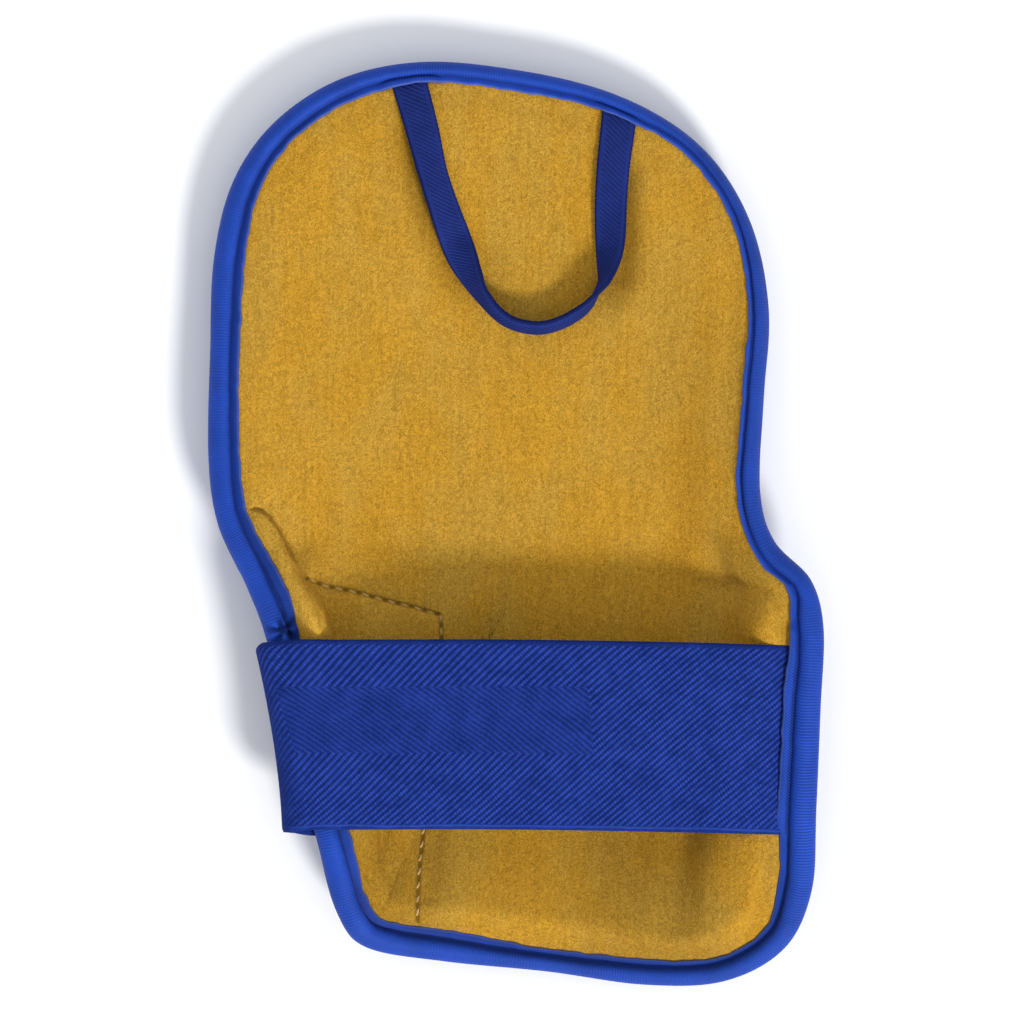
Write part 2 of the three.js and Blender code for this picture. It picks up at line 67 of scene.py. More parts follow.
# The outline of the edge roll, anticlockwise from the top: the height of its middle, the tape's width, how
# the panel rises to it, and the tape's layout: how far its outer edge is drawn in, how far from there the
# groove and the inner edge lie, and how high the roll and the inner edge stand as shares of the section's
# heights.
PLAN_SHIFT = (0.3, -0.05, 0.0)
OutlineRow = namedtuple("OutlineRow", "x y z tape flat foot brow soft trim seam shown roll lip")
OUTLINE = [
    OutlineRow(1.0, 90.8, 6.0, 4.5, 0.3, 0.6, 1.0, 1.0, 0, 2.8, 4.4, 0.95, 0.4),
    OutlineRow(-18.4, 92.6, 6.0, 4.3, 0.3, 0.6, 1.0, 1.0, 0, 2.8, 4.2, 0.95, 0.4),
    OutlineRow(-35.0, 89.4, 6.2, 5.4, 0.3, 0.6, 1.0, 1.0, 0.1, 3.4, 5.1, 1, 0.6),
    OutlineRow(-48.2, 80.8, 6.8, 5.6, 0.35, 0.6, 1.0, 1.0, 0, 3.6, 5.2, 1, 0.7),
    OutlineRow(-56.8, 68.8, 7.6, 5.8, 0.4, 0.6, 1.0, 1.0, 0.1, 3.9, 5.6, 1, 0.85),
    OutlineRow(-60.6, 53.0, 8.6, 6.4, 0.42, 0.6, 1.0, 1.0, 0, 4.1, 6, 1, 1),
    OutlineRow(-61.4, 34.0, 9.6, 6.4, 0.38, 0.6, 1.0, 1.0, 0.1, 3.6, 5.5, 1, 1.1),
    OutlineRow(-61.7, 14.0, 10.8, 6.4, 0.32, 0.65, 0.96, 0.95, 0.1, 4, 5.9, 1, 1.1),
    OutlineRow(-60.0, 0.2, 12.0, 6.4, 0.25, 0.7, 0.94, 0.9, 0.3, 3.9, 5.9, 1, 1.1),
    OutlineRow(-54.0, -13.1, 13.8, 7.0, 0.16, 0.72, 0.96, 0.88, 0.4, 3.9, 6.2, 1, 1),
    OutlineRow(-50.0, -23.1, 15.2, 7.0, 0.08, 0.7, 1.0, 0.92, 0.2, 4.1, 6.2, 1, 1),
    OutlineRow(-45.0, -42.9, 15.8, 7.0, 0.02, 0.7, 1.0, 1.0, 0, 4.2, 6.2, 1, 1),
    OutlineRow(-39.9, -62.8, 15.0, 7.0, 0.04, 0.7, 1.0, 1.0, 0, 4.2, 6.1, 1, 1),
    OutlineRow(-36.2, -76.9, 12.5, 7.0, 0.14, 0.7, 1.0, 1.0, 0, 4.4, 6, 1, 1),
    OutlineRow(-30.3, -84.5, 9.2, 7.0, 0.28, 0.7, 1.0, 1.0, 0, 4.6, 6.3, 1, 0.9),
    OutlineRow(-14.4, -87.6, 6.6, 6.6, 0.42, 0.7, 1.0, 1.0, 0, 4.2, 6.4, 1, 0.7),
    OutlineRow(6.0, -89.7, 5.6, 5.2, 0.5, 0.7, 1.0, 1.0, 0, 3, 4.6, 1, 0.7),
    OutlineRow(25.6, -92.3, 6.2, 5.4, 0.5, 0.7, 1.0, 0.9, 0, 3.5, 5.2, 1, 0.8),
    OutlineRow(41.6, -91.4, 8.2, 5.6, 0.5, 0.56, 0.9, 0.7, 0, 3.6, 5, 1, 0.9),
    OutlineRow(53.4, -84.6, 11.0, 5.8, 0.5, 0.52, 0.86, 0.45, 0, 3.9, 5.4, 1, 1),
    OutlineRow(58.7, -72.8, 13.6, 6.8, 0.5, 0.5, 0.84, 0.34, 0, 4.8, 6.6, 1, 1.1),
    OutlineRow(59.5, -56.5, 15.8, 7.2, 0.5, 0.56, 0.86, 0.3, 0, 5.1, 7.1, 1, 1.2),
    OutlineRow(60.3, -36.7, 16.6, 7.2, 0.5, 0.6, 0.88, 0.28, 0, 5.1, 7.1, 1, 1.2),
    OutlineRow(60.9, -20.8, 16.4, 6.8, 0.5, 0.6, 0.88, 0.3, 0, 4.7, 6.3, 1, 1.1),
    OutlineRow(58.4, -11.1, 15.6, 6.0, 0.5, 0.62, 0.92, 0.36, 0, 3.3, 4.8, 0.85, 1.2),
    OutlineRow(51.3, -3.2, 14.2, 5.4, 0.46, 0.62, 0.96, 0.5, 0.2, 3.1, 4.2, 0.85, 1.2),
    OutlineRow(48.4, 6.8, 13.2, 5.0, 0.44, 0.64, 1.0, 0.7, 0.1, 2.8, 3.7, 0.8, 1.2),
    OutlineRow(49.1, 25.0, 12.6, 4.6, 0.4, 0.64, 1.0, 0.9, 0.1, 2, 3.3, 0.8, 1.2),
    OutlineRow(50.2, 43.2, 11.6, 4.4, 0.35, 0.62, 1.0, 1.0, 0.2, 1.9, 3.2, 0.8, 1.1),
    OutlineRow(46.7, 61.2, 10.0, 4.3, 0.3, 0.6, 1.0, 1.0, 0.5, 1.7, 3, 0.8, 1),
    OutlineRow(36.7, 76.4, 8.2, 4.3, 0.3, 0.6, 1.0, 1.0, 0.6, 2, 3.2, 0.85, 0.8),
    OutlineRow(20.3, 86.2, 6.8, 4.6, 0.3, 0.6, 1.0, 1.0, 0.4, 2.6, 3.9, 0.9, 0.6),
]
MIDDLE_X, MIDDLE_Y = 2.0, -8.0

# Creases and hollows of the lining, from one end to the other: half their width and their depth, which is
# below zero for a ridge.
FoldRow = namedtuple("FoldRow", "x1 y1 x2 y2 half depth")
FOLDS = {
    "waist ridge beside the edge": FoldRow(-51, -3, -42, -19, 4, -1.0),
    "waist crease, upper": FoldRow(-50, 3, -45, -5, 3.5, 1.4),
    "waist crease, lower": FoldRow(-45, -5, -37, -22, 4, 1.2),
    "right furrow over the strap": FoldRow(44, -4, 42, -24, 5, 1.0),
    "right furrow under the strap": FoldRow(35, -60, 34, -84, 6, 1.0),
    "left furrow under the strap": FoldRow(-27, -60, -28, -75, 4, 1.0),
    "long hollow of the back": FoldRow(30, 35, 32, -16, 7, 0.5),
    "valley by the right shoulder": FoldRow(44.0, -6, 42.4, -24, 3.2, 1.3),
    "valley along the seam": FoldRow(-17.8, -60, -18.8, -80, 3.6, 1.6),
    "rise beside the wrist edge": FoldRow(-10, -77, 28, -79, 15, -0.5),
    "valley beside the loop": FoldRow(22.4, 70, 21.6, 50, 2.6, 1.0),
    "furrow by the left edge": FoldRow(-26.9, -60, -28.4, -80, 1.5, 0.7),
}
FOLD_FADE = (4.0, 9.0)  # where the folds ease in from the edge

# Where the lining is pushed up beside a line, seen from above: the line has the raised side on its left, and
# the rise changes along it. Each step has its slope's width and where its rise eases in from the edge.
StepRow = namedtuple("StepRow", "x y rise")
Step = namedtuple("Step", "wide rim rows")
STEPS = {
    "left flank": Step(3.6, (2.2, 4.4), [
        StepRow(-28.7, -79.0, 0.0),
        StepRow(-28.2, -72.0, 0.2),
        StepRow(-27.2, -62.8, 0.5),
        StepRow(-31.5, -45.0, 1.8),
        StepRow(-35.8, -25.0, 3.2),
        StepRow(-36.4, -21.6, 4.6),
        StepRow(-38.0, -17.0, 4.2),
        StepRow(-39.9, -13.6, 3.2),
        StepRow(-42.3, -9.8, 1.8),
        StepRow(-44.6, -6.2, 1.2),
        StepRow(-46.2, -3.0, 0.8),
        StepRow(-49.0, 1.4, 0.5),
        StepRow(-52.0, 4.0, 0.0),
    ]),
    "left flank's outer part": Step(5.0, (1.4, 3.2), [
        StepRow(-39.6, -24.0, 2.0),
        StepRow(-40.2, -20.0, 2.9),
        StepRow(-41.2, -16.0, 2.8),
        StepRow(-42.6, -12.5, 2.0),
        StepRow(-44.6, -9.0, 1.0),
        StepRow(-47.0, -5.0, 0.0),
    ]),
    "right shoulder": Step(7.0, (2.5, 7.0), [
        StepRow(55.0, -4.0, 0.0),
        StepRow(53.5, -7.0, 0.5),
        StepRow(51.5, -10.0, 1.4),
        StepRow(48.5, -14.0, 2.3),
        StepRow(45.8, -19.0, 2.6),
        StepRow(44.8, -22.0, 2.0),
        StepRow(44.4, -24.0, 0.8),
        StepRow(43.0, -40.0, 0.0),
    ]),
    "gentle rise to the right": Step(24.0, (2.0, 7.0), [
        StepRow(24.0, -40.0, 0.0),
        StepRow(20.5, -58.0, 1.6),
        StepRow(19.0, -76.0, 2.2),
        StepRow(18.0, -90.0, 1.6),
    ]),
    "rise to the wrist edge": Step(26.0, (1.6, 7.0), [
        StepRow(60.0, -68.0, 0.4),
        StepRow(44.0, -67.5, 0.8),
        StepRow(22.0, -66.7, 2.2),
        StepRow(-30.0, -65.0, 2.4),
    ]),
    "right side under the strap": Step(9.0, (2.0, 7.0), [
        StepRow(39.0, -45.0, 0.0),
        StepRow(36.6, -58.0, 1.8),
        StepRow(35.4, -66.0, 2.6),
        StepRow(33.8, -76.0, 2.4),
        StepRow(32.4, -86.0, 1.4),
    ]),
}
STEP_FOOT, STEP_BROW = -0.3, 0.7  # where a step's slope starts and ends, as shares of its width from its line

# The sharp crease of the lining at the left waist: its line seen from above.
CREASE_LINE = [
    (-53.0, 3.0), (-50.7, 2.7), (-49.1, 1.6), (-47.2, -0.8), (-45.9, -3.4), (-44.5, -6.6), (-42.1, -10.0),
]
CREASE_START, CREASE_END = (-1.0, 1.5), (12.5, 17.0)  # where the crease eases in and out along its line
CREASE_RIM = (2.0, 5.0)  # and where it eases in from the edge
CREASE_DEPTH, CREASE_HALF = 0.8, 0.45
FLAP_RISE, FLAP_OUTER, FLAP_INNER = 0.8, (-9.0, -2.0), (-0.5, 0.4)  # the flap from the crease to the edge

# The stitch line that holds the fastener pile, seen from above: round the pile's upper and right sides.
STITCH_LINES = {
    "upper_stitches": [
        (-41.6, -10.8), (-38.0, -12.4), (-31.6, -13.7), (-26.0, -15.3), (-20.6, -16.6), (-14.9, -18.3),
        (-14.8, -22.6), (-15.2, -30.0),
    ],
    "lower_stitches": [
        (-17.6, -52.0), (-18.5, -61.6), (-19.1, -67.0), (-19.5, -72.6), (-19.6, -77.4), (-19.6, -79.6),
    ],
}
STITCH_DEPTH, STITCH_HALF = 0.45, 0.8
STITCH_OUT, STITCH_IN = 1.5, 0.5  # how far past its end and before it the stitch line's groove fades

# The lining's height over the flange's foot and further in, and how the seam squeezes all layers together.
PUFF, PUFF_FADE = 0.7, (3.0, 8.0)
SQUEEZE, SQUEEZE_FADE = 0.5, (-1.5, 0.4)

# The binding's section at one width of the tape: insets from the middle of the roll towards the lining, and
# heights square to the panel, from the flange's inner edge over the roll and back inside.
TAPE_SHOWN = 5.8
ROLL_RADIUS = 3.0
BINDING_OVER = [
    (2.9, 1.5), (2.82, 2.05), (2.45, 2.25), (2.0, 2.02), (1.6, 1.6), (1.32, 1.25), (1.12, 1.45), (0.95, 2.2),
    (0.5, 2.82), (-0.3, 3.06), (-1.3, 2.84), (-2.3, 2.04), (-2.87, 1.0),
]
BINDING_OUTER = (-3.0, 0.0)
BINDING_GROOVE, BINDING_RIM = (1.32, 1.25), (2.8, 2.1)  # the groove's floor and the flange's inner rim
FLANGE_SKEW = 8.0  # how far the flange's ribs are drawn along, per share of the section
BINDING_INSIDE = [
    (2.5, -1.35), (1.4, -0.8), (0.2, -1.5), (-1.2, -1.2), (-1.6, 0.0), (-1.2, 1.2), (0.2, 1.5), (1.4, 0.8),
    (2.5, 1.35),
]
SECTION_STEPS = 2000

# Where the flange is lifted over what lies under it, seen from above: a place, half the length, how far the
# lift fades at its ends, and the lift.
LiftRow = namedtuple("LiftRow", "x y half fade lift")
FLANGE_LIFTS = {
    "strap": LiftRow(60.0, -42.3, 21.6, 1.6, 1.0),
    "left end of the loop": LiftRow(-21.6, 91.8, 5.8, 2.0, 1.3),
    "right end of the loop": LiftRow(22.2, 85.4, 5.0, 2.2, 1.1),
    "left flank": LiftRow(-52.0, -16.0, 6.5, 4.5, 1.5),
}

# The pucker of the binding by the strap: its place seen from above, its ridges, and its narrower hollow.
PUCKER_X, PUCKER_Y, PUCKER_SIZE = -46.2, -21.1, 2.3
PUCKER_RIDGES, PUCKER_RISE, PUCKER_RIDGE_START = 5, 1.0, (0.1, 0.5)
PUCKER_HOLLOW, PUCKER_HOLLOW_NARROW = 1.2, 3
PUCKER_SHADE_OVER = 14.5  # the pucker's painted light and shade show in the tape's colour only higher than this

# The wrist strap.
STRAP_WIDTH, STRAP_THICK = 37.6, 1.6
STRAP_EDGE_Y = -22.9
STRAP_END_X, STRAP_END_SLANT, STRAP_END_DROP = 52.2, -1.6, 1.2
STRAP_RUN = [  # x and z of its middle line
    (57.2, 16.2), (54.8, 17.1), (52.4, 18.1), (47.0, 19.7), (40.0, 20.4), (0.0, 20.5), (-34.0, 20.7),
]
STRAP_END_SINK, STRAP_SINK_FADE = 1.4, (40.0, 53.0)  # how far its sewn end sinks towards the lower edge
STRAP_HIDDEN, STRAP_END_THIN = 6.0, 0.6  # the length that thins out under the binding, and to what share
STRAP_FOLD_UPPER_X, STRAP_FOLD_LOWER_X, STRAP_FOLD_BOW = -52.0, -46.4, 1.6
STRAP_CORNER, STRAP_CORNER_SHARE = 1.3, 0.05  # how far the fold draws in at its upper end
STRAP_FOLD = [(6.5, 20.7), (2.4, 19.8), (0.0, 16.2), (1.4, 12.6)]  # inset from the fold and z
STRAP_TAIL_END_X, STRAP_TAIL_SHIFT_Y, STRAP_TAIL_INSET, STRAP_TAIL_POINTS = -26.0, -1.5, 7.0, 4

# The fastener pile: its corners by the stitch line, and the rows of the outline that its left side runs
# between.
PATCH_THICK, PATCH_GAP, PATCH_EDGE_INSET = 1.2, 0.6, 4.4
PATCH_UPPER_RIGHT, PATCH_LOWER_RIGHT = (-14.4, -18.4), (-19.5, -77.5)
PATCH_RIM = (9.1, 13.4)

# The finger loop: its middle line seen from above, its turn in degrees, and its lift over the lining.
LOOP_WIDTH, LOOP_THICK = 6.35, 1.0
LoopRow = namedtuple("LoopRow", "x y turn lift")
LOOP = [
    LoopRow(20.6, 84.0, 0, -0.6),
    LoopRow(20.3, 80.4, 0, -0.1),
    LoopRow(19.3, 72.0, 0, 0.5),
    LoopRow(18.8, 65.0, 6, 0.6),
    LoopRow(18.7, 60.4, 16, 0.6),
    LoopRow(18.6, 56.0, 29, 0.6),
    LoopRow(18.1, 51.6, 52, 0.5),
    LoopRow(17.0, 47.4, 80, 0.3),
    LoopRow(12.4, 42.3, 110, 0.0),
    LoopRow(5.0, 39.3, 114, -0.1),
    LoopRow(-2.0, 40.8, 114, -0.1),
    LoopRow(-7.2, 46.0, 119, 0.0),
    LoopRow(-9.2, 49.6, 134, 0.2),
    LoopRow(-10.8, 53.0, 156, 0.4),
    LoopRow(-12.5, 57.4, 182, 0.5),
    LoopRow(-14.2, 62.0, 200, 0.5),
    LoopRow(-16.8, 70.0, 207, 0.5),
    LoopRow(-19.0, 79.0, 190, 0.3),
    LoopRow(-21.2, 87.0, 180, -0.2),
    LoopRow(-22.1, 90.2, 180, -0.6),
]

# The camera stands over the guard at the photograph's distance and angle.
CAMERA_X, CAMERA_Y, CAMERA_HEIGHT, CAMERA_LENS = -0.7, 2.35, 1200.0, 209.5

SMALL_STEP = 1e-3  # how far to either side, as a share, the places lie that give a direction
CURVE_STEPS = 4096
SPAN_STEPS = 48  # the points that a curve is drawn with between two of its rows
LINE_STEPS = 400
UNDER_ROUNDS = 4  # how often the place under a point is sought, each time closer


def smooth(low, high, value):
    """Eases from 0 at low to 1 at high."""
    share = np.clip((value - low) / (high - low), 0, 1)
    return share * share * (3 - 2 * share)


def between(start, end, value):
    """Eases from 0 to 1 over the start and back to 0 over the end."""
    return smooth(*start, value) * (1 - smooth(*end, value))


def blend_rows(rows, place):
    """Catmull-Rom through the four rows round each place."""
    count = len(rows)
    index = np.floor(place).astype(int)
    f = (place - index)[:, None]
    before, here, ahead, after = (rows[(index + k) % count] for k in (-1, 0, 1, 2))
    return 0.5 * (
        2 * here
        + (ahead - before) * f
        + (2 * before - 5 * here + 4 * ahead - after) * f**2
        + (3 * here - before - 3 * ahead + after) * f**3
    )


def open_curve(points, count):
    """A centripetal curve through the points, as count points evenly spaced along it."""
    points = np.asarray(points, float)
    points = np.vstack([2 * points[0] - points[1], points, 2 * points[-1] - points[-2]])
    knots = np.concatenate([[0], np.cumsum(np.linalg.norm(np.diff(points, axis=0), axis=1) ** 0.5)])
    dense = []
    for k in range(1, len(points) - 2):
        u = np.linspace(knots[k], knots[k + 1], SPAN_STEPS)[:, None]
        t0, t1, t2, t3 = knots[k - 1 : k + 3]
        p0, p1, p2, p3 = points[k - 1 : k + 3]
        a1 = ((t1 - u) * p0 + (u - t0) * p1) / (t1 - t0)
        a2 = ((t2 - u) * p1 + (u - t1) * p2) / (t2 - t1)
        a3 = ((t3 - u) * p2 + (u - t2) * p3) / (t3 - t2)
        b1 = ((t2 - u) * a1 + (u - t0) * a2) / (t2 - t0)
        b2 = ((t3 - u) * a2 + (u - t1) * a3) / (t3 - t1)
        dense.append(((t2 - u) * b1 + (u - t1) * b2) / (t2 - t1))
    dense = np.vstack(dense)
    return evenly(dense, count)


def evenly(line, count):
    """The line as count points evenly spaced along it."""
    run = arc_lengths(line)
    places = np.linspace(0, run[-1], count)
    return np.stack([np.interp(places, run, line[:, axis]) for axis in range(line.shape[1])], 1)


def arc_lengths(line):
    """How far along the line each of its points is."""
    return np.concatenate([[0], np.cumsum(np.linalg.norm(np.diff(line, axis=0), axis=1))])


def unit(vectors):
    return vectors / np.linalg.norm(vectors, axis=-1, keepdims=True)


def ripple(place, period, waves, seed):
    """A smooth uneven wave from -1 to 1 that closes after the period, of the given numbers of waves in it."""
    draw = np.random.default_rng(seed)
    phases = draw.uniform(0, 2 * math.pi, len(waves))
    weights = draw.uniform(0.5, 1.0, len(waves))
    total = sum(w * np.sin(2 * math.pi * n * place / period + p) for n, p, w in zip(waves, phases, weights))
    return total / weights.sum()


def line_place(points, line):
    """How far along a line of points each point's nearest place is, and how far to its left the point is."""
    line = np.asarray(line, float)
    run = arc_lengths(line)
    nearest = np.full(len(points), np.inf)
    along, aside = np.zeros(len(points)), np.zeros(len(points))
    for k in range(len(line) - 1):
        step = line[k + 1] - line[k]
        offset = points - line[k]
        share = offset @ step / (step @ step)
        distance = np.linalg.norm(offset - np.clip(share, 0, 1)[:, None] * step, axis=1)
        closer = distance < nearest
        nearest = np.where(closer, distance, nearest)
        first = -np.inf if k == 0 else 0  # past its ends the line goes on straight
        last = np.inf if k == len(line) - 2 else 1
        held = np.clip(share, first, last)
        away = np.linalg.norm(offset - held[:, None] * step, axis=1)
        side = np.sign(step[0] * offset[:, 1] - step[1] * offset[:, 0])
        along = np.where(closer, run[k] + held * np.linalg.norm(step), along)
        aside = np.where(closer, side * away, aside)
    return along, aside


def step_rise(plan, inset):
    """How far the steps push the lining up."""
    total = np.zeros(len(plan))
    for step in STEPS.values():
        rows = np.array(step.rows)
        along, aside = line_place(plan, rows[:, :2])
        rise = np.interp(along, arc_lengths(rows[:, :2]), rows[:, 2])
        slope = smooth(STEP_FOOT * step.wide, STEP_BROW * step.wide, aside)
        total += rise * slope * smooth(*step.rim, inset)
    return total


def crease_rise(plan, inset):
    """How far the lining rises to the flap beside its sharp crease, and falls in the crease."""
    along, aside = line_place(plan, CREASE_LINE)
    shown = between(CREASE_START, CREASE_END, along) * smooth(*CREASE_RIM, inset)
    flap = FLAP_RISE * between(FLAP_OUTER, FLAP_INNER, aside)
    return shown * (flap - CREASE_DEPTH * np.exp(-((aside / CREASE_HALF) ** 2)))


def stitch_groove(plan):
    """How deep the stitch line's groove in the lining is."""
    depth = np.zeros(len(plan))
    for line in STITCH_LINES.values():
        along, aside = line_place(plan, line)
        length = arc_lengths(np.array(line))[-1]
        shown = between((-STITCH_OUT, STITCH_IN), (length - STITCH_IN, length + STITCH_OUT), along)
        depth += STITCH_DEPTH * np.exp(-((aside / STITCH_HALF) ** 2)) * shown
    return depth


class Panel:
    """The guard's dished panel: its surfaces at shares t round the edge and r of the way out to it."""

    def __init__(self):
        rows = np.array(OUTLINE, float)
        count = len(rows)
        self.steps = np.arange(CURVE_STEPS) / CURVE_STEPS
        place = self.steps * count
        line = blend_rows(rows[:, :3], place) + PLAN_SHIFT
        index = np.floor(place).astype(int)
        eased = smooth(0, 1, place - index)[:, None]
        others = rows[:, 3:]
        others = others[index] * (1 - eased) + others[(index + 1) % count] * eased
        tape, flat, foot, brow, soft, trim, seam, shown, roll, lip = others.T
        reach = round(SMALL_STEP * CURVE_STEPS)
        ahead = np.roll(line, -reach, 0) - np.roll(line, reach, 0)
        out = unit(np.stack([ahead[:, 1], -ahead[:, 0]], 1))
        wide = tape / TAPE_SHOWN
        edge = line[:, :2] - ROLL_RADIUS * wide[:, None] * out
        spread = (edge[:, 0] - MIDDLE_X) * out[:, 0] + (edge[:, 1] - MIDDLE_Y) * out[:, 1]
        closed = np.vstack([line, line[:1]])
        run = arc_lengths(closed)
        self.girth = run[-1]
        self.columns = {
            "x": edge[:, 0], "y": edge[:, 1], "z": line[:, 2], "wide": wide, "reach": spread,
            "flat": flat, "foot": foot, "brow": brow, "soft": soft,
            "trim": trim, "seam": seam, "shown": shown, "roll": roll, "lip": lip,
            "cover": trim + shown - ROLL_RADIUS * wide,
        }
        self.angles = np.unwrap(np.arctan2(edge[:, 1] - MIDDLE_Y, edge[:, 0] - MIDDLE_X))
        self.run_all = run

    def at(self, name, t):
        """What a column of the outline says at shares t round the edge."""
        return np.interp(t, self.steps, self.columns[name], period=1)

    def share_of_run(self, share):
        """The share t at a share of the edge's length."""
        return np.interp(share * self.girth, self.run_all, np.append(self.steps, 1.0))

    def middle(self, t, r):
        """The panel's middle surface: flat in the middle, and rising gently or as a step to the edge."""
        flat, foot, brow, soft = (self.at(name, t) for name in ("flat", "foot", "brow", "soft"))
        gentle = np.clip((r - flat) / (1 - flat), 0, None) ** GENTLE_POWER
        rise = soft * gentle + (1 - soft) * smooth(foot, brow, r)
        x = MIDDLE_X + (self.at("x", t) - MIDDLE_X) * r
        y = MIDDLE_Y + (self.at("y", t) - MIDDLE_Y) * r
        return np.stack([x, y, FLOOR_Z + (self.at("z", t) - FLOOR_Z) * rise], -1)

    def square(self, t, r):
        """The direction square to the middle surface, on the lining's side."""
        held = np.maximum(r, 2 * SMALL_STEP)
        around = self.middle(t + SMALL_STEP, held) - self.middle(t - SMALL_STEP, held)
        outwards = self.middle(t, held + SMALL_STEP) - self.middle(t, held - SMALL_STEP)
        return unit(np.cross(outwards, around))

    def inset(self, t, r):
        """How far in from the edge a place is."""
        return (1 - r) * self.at("reach", t)

    def point(self, t, r, height):
        """The point at a height over the middle surface."""
        return self.middle(t, r) + self.square(t, r) * np.asarray(height)[..., None]

    def fold_depth(self, plan, inset):
        """How deep the folds are at points seen from above."""
        depth = np.zeros(len(plan))
        for fold in FOLDS.values():
            start = np.array([fold.x1, fold.y1], float)
            step = np.array([fold.x2, fold.y2], float) - start
            share = np.clip((plan - start) @ step / (step @ step), 0, 1)
            away = np.linalg.norm(plan - start - share[:, None] * step, axis=1)
            depth += fold.depth * np.exp(-((away / fold.half) ** 2))
        return depth * smooth(*FOLD_FADE, inset)

    def squeezed(self, t, r):
        """What share of their thickness the layers keep where the edge's seam holds them."""
        return 1 - SQUEEZE * (1 - smooth(*SQUEEZE_FADE, self.inset(t, r) - self.at("cover", t)))

    def upper(self, t, r, height):
        """A layer over the middle surface, folded, and squeezed at the edge."""
        plan = self.middle(t, r)[:, :2]
        return self.point(t, r, height * self.squeezed(t, r) - self.fold_depth(plan, self.inset(t, r)))

    def under(self, t, r, depth):
        """The outer face, or a layer at a depth under it, held above the floor."""
        lower = EDGE_HALF + (PAD_LOWER_HALF - EDGE_HALF) * smooth(THIN_EDGE, FULL_THICK, self.inset(t, r))
        point = self.point(t, r, -lower * self.squeezed(t, r) - depth)
        point[:, 2] = np.maximum(point[:, 2], 0)
        return point

    def lining_top(self, t, r, drop=0.0):
        """The lining's face with its fine folds, or a layer at a depth under it."""
        inset = self.inset(t, r)
        height = EDGE_HALF + PUFF * smooth(*PUFF_FADE, inset)
        plan = self.upper(t, r, height)[:, :2]
        height = height + step_rise(plan, inset) + crease_rise(plan, inset) - stitch_groove(plan)
        return self.upper(t, r, height - drop)

    def lining_under(self, plan):
        """The lining's points that lie right under points seen from above."""
        plan = np.asarray(plan, float)
        guess = plan.copy()
        for _ in range(UNDER_ROUNDS):
            t, r = self.place_of(guess)
            point = self.lining_top(t, r)
            guess += plan - point[:, :2]
        return t, r, point

    def place_of(self, plan):
        """The shares (t, r) of points seen from above."""
        plan = np.atleast_2d(np.asarray(plan, float))[:, :2]
        x, y = plan[:, 0] - MIDDLE_X, plan[:, 1] - MIDDLE_Y
        angle = np.arctan2(y, x)
        start = self.angles[0]
        angle = start + (angle - start) % (2 * math.pi)
        t = np.interp(angle, np.append(self.angles, start + 2 * math.pi), np.append(self.steps, 1.0))
        whole = np.hypot(self.at("x", t) - MIDDLE_X, self.at("y", t) - MIDDLE_Y)
        return t, np.hypot(x, y) / whole


PANEL = Panel()


# Meshes


def grid_mesh(columns, rows):
    """A flat grid from -1 to 1 in X and Y, with its UV map from 0 to 1."""
    mesh = bmesh.new()
    mesh.loops.layers.uv.new("shares")
    bmesh.ops.create_grid(mesh, x_segments=columns, y_segments=rows, size=1.0, calc_uvs=True)
    return mesh


def vertex_table(mesh):
    """Where the vertices are, in the order of their numbers."""
    mesh.verts.index_update()
    return np.array([vertex.co for vertex in mesh.verts])


def layered_grid(columns, rows):
    """A closed flat grid of two layers, its vertices' places, and which of them are in the lower layer."""
    mesh = grid_mesh(columns, rows)
    bmesh.ops.solidify(mesh, geom=mesh.faces[:], thickness=1.0)
    flat = vertex_table(mesh)
    return mesh, flat, flat[:, 2] < flat[:, 2].mean()


def grid_shares(flat):
    """How far across and along the grid its vertices are, from 0 to 1."""
    return (flat[:, 0] + 1) / 2, (flat[:, 1] + 1) / 2


def place_vertices(mesh, points):
    """Moves the vertices to points that are given in millimetres."""
    for vertex, point in zip(mesh.verts, np.asarray(points) * MM):
        vertex.co = point


def mirror_map(mesh, low):
    """Mirrors the UV map on the back layer, so that its pattern looks the same as the front's."""
    layer = mesh.loops.layers.uv.verify()
    for face in mesh.faces:
        if all(low[vertex.index] for vertex in face.verts):
            for loop in face.loops:
                loop[layer].uv.x = 1 - loop[layer].uv.x


def binding_section(count):
    """The binding's section as a closed curve of evenly spaced points: inset and height."""
    under = [(inset, -up) for inset, up in reversed(BINDING_OVER)]
    corners = np.array([*BINDING_OVER, BINDING_OUTER, *under, *BINDING_INSIDE], float)
    curve = blend_rows(corners, np.linspace(0, len(corners), count, endpoint=False))
    return evenly(np.vstack([curve, curve[:1]]), count)


def section_share(inset, up):
    """How far round the binding's section a place on it is."""
    section = binding_section(SECTION_STEPS)
    return np.linalg.norm(section - (inset, up), axis=1).argmin() / len(section)


def disc_shares(flat):
    """Turns points of a square grid into shares (t, r) of a disc that starts at the top."""
    a, b = flat[:, 0], flat[:, 1]
    wide = np.abs(a) >= np.abs(b)
    safe_a, safe_b = np.where(wide & (a != 0), a, 1), np.where(wide, 1, b)
    quarter = math.pi / 4
    angle = np.where(wide, quarter * b / safe_a, 2 * quarter - quarter * a / safe_b)
    turned = np.where(wide, a < 0, b < 0)
    angle = angle + math.pi * turned
    return (angle / (2 * math.pi) - 0.25) % 1, np.maximum(np.abs(a), np.abs(b))


def add_point_map(obj, name, first, second):
    """Gives the mesh a UV map that holds two numbers of each vertex."""
    layer = obj.data.uv_layers.new(name=name)
    index = np.zeros(len(obj.data.loops), int)
    obj.data.loops.foreach_get("vertex_index", index)
    layer.data.foreach_set("uv", np.stack([first[index], second[index]], 1).astype(np.float32).ravel())


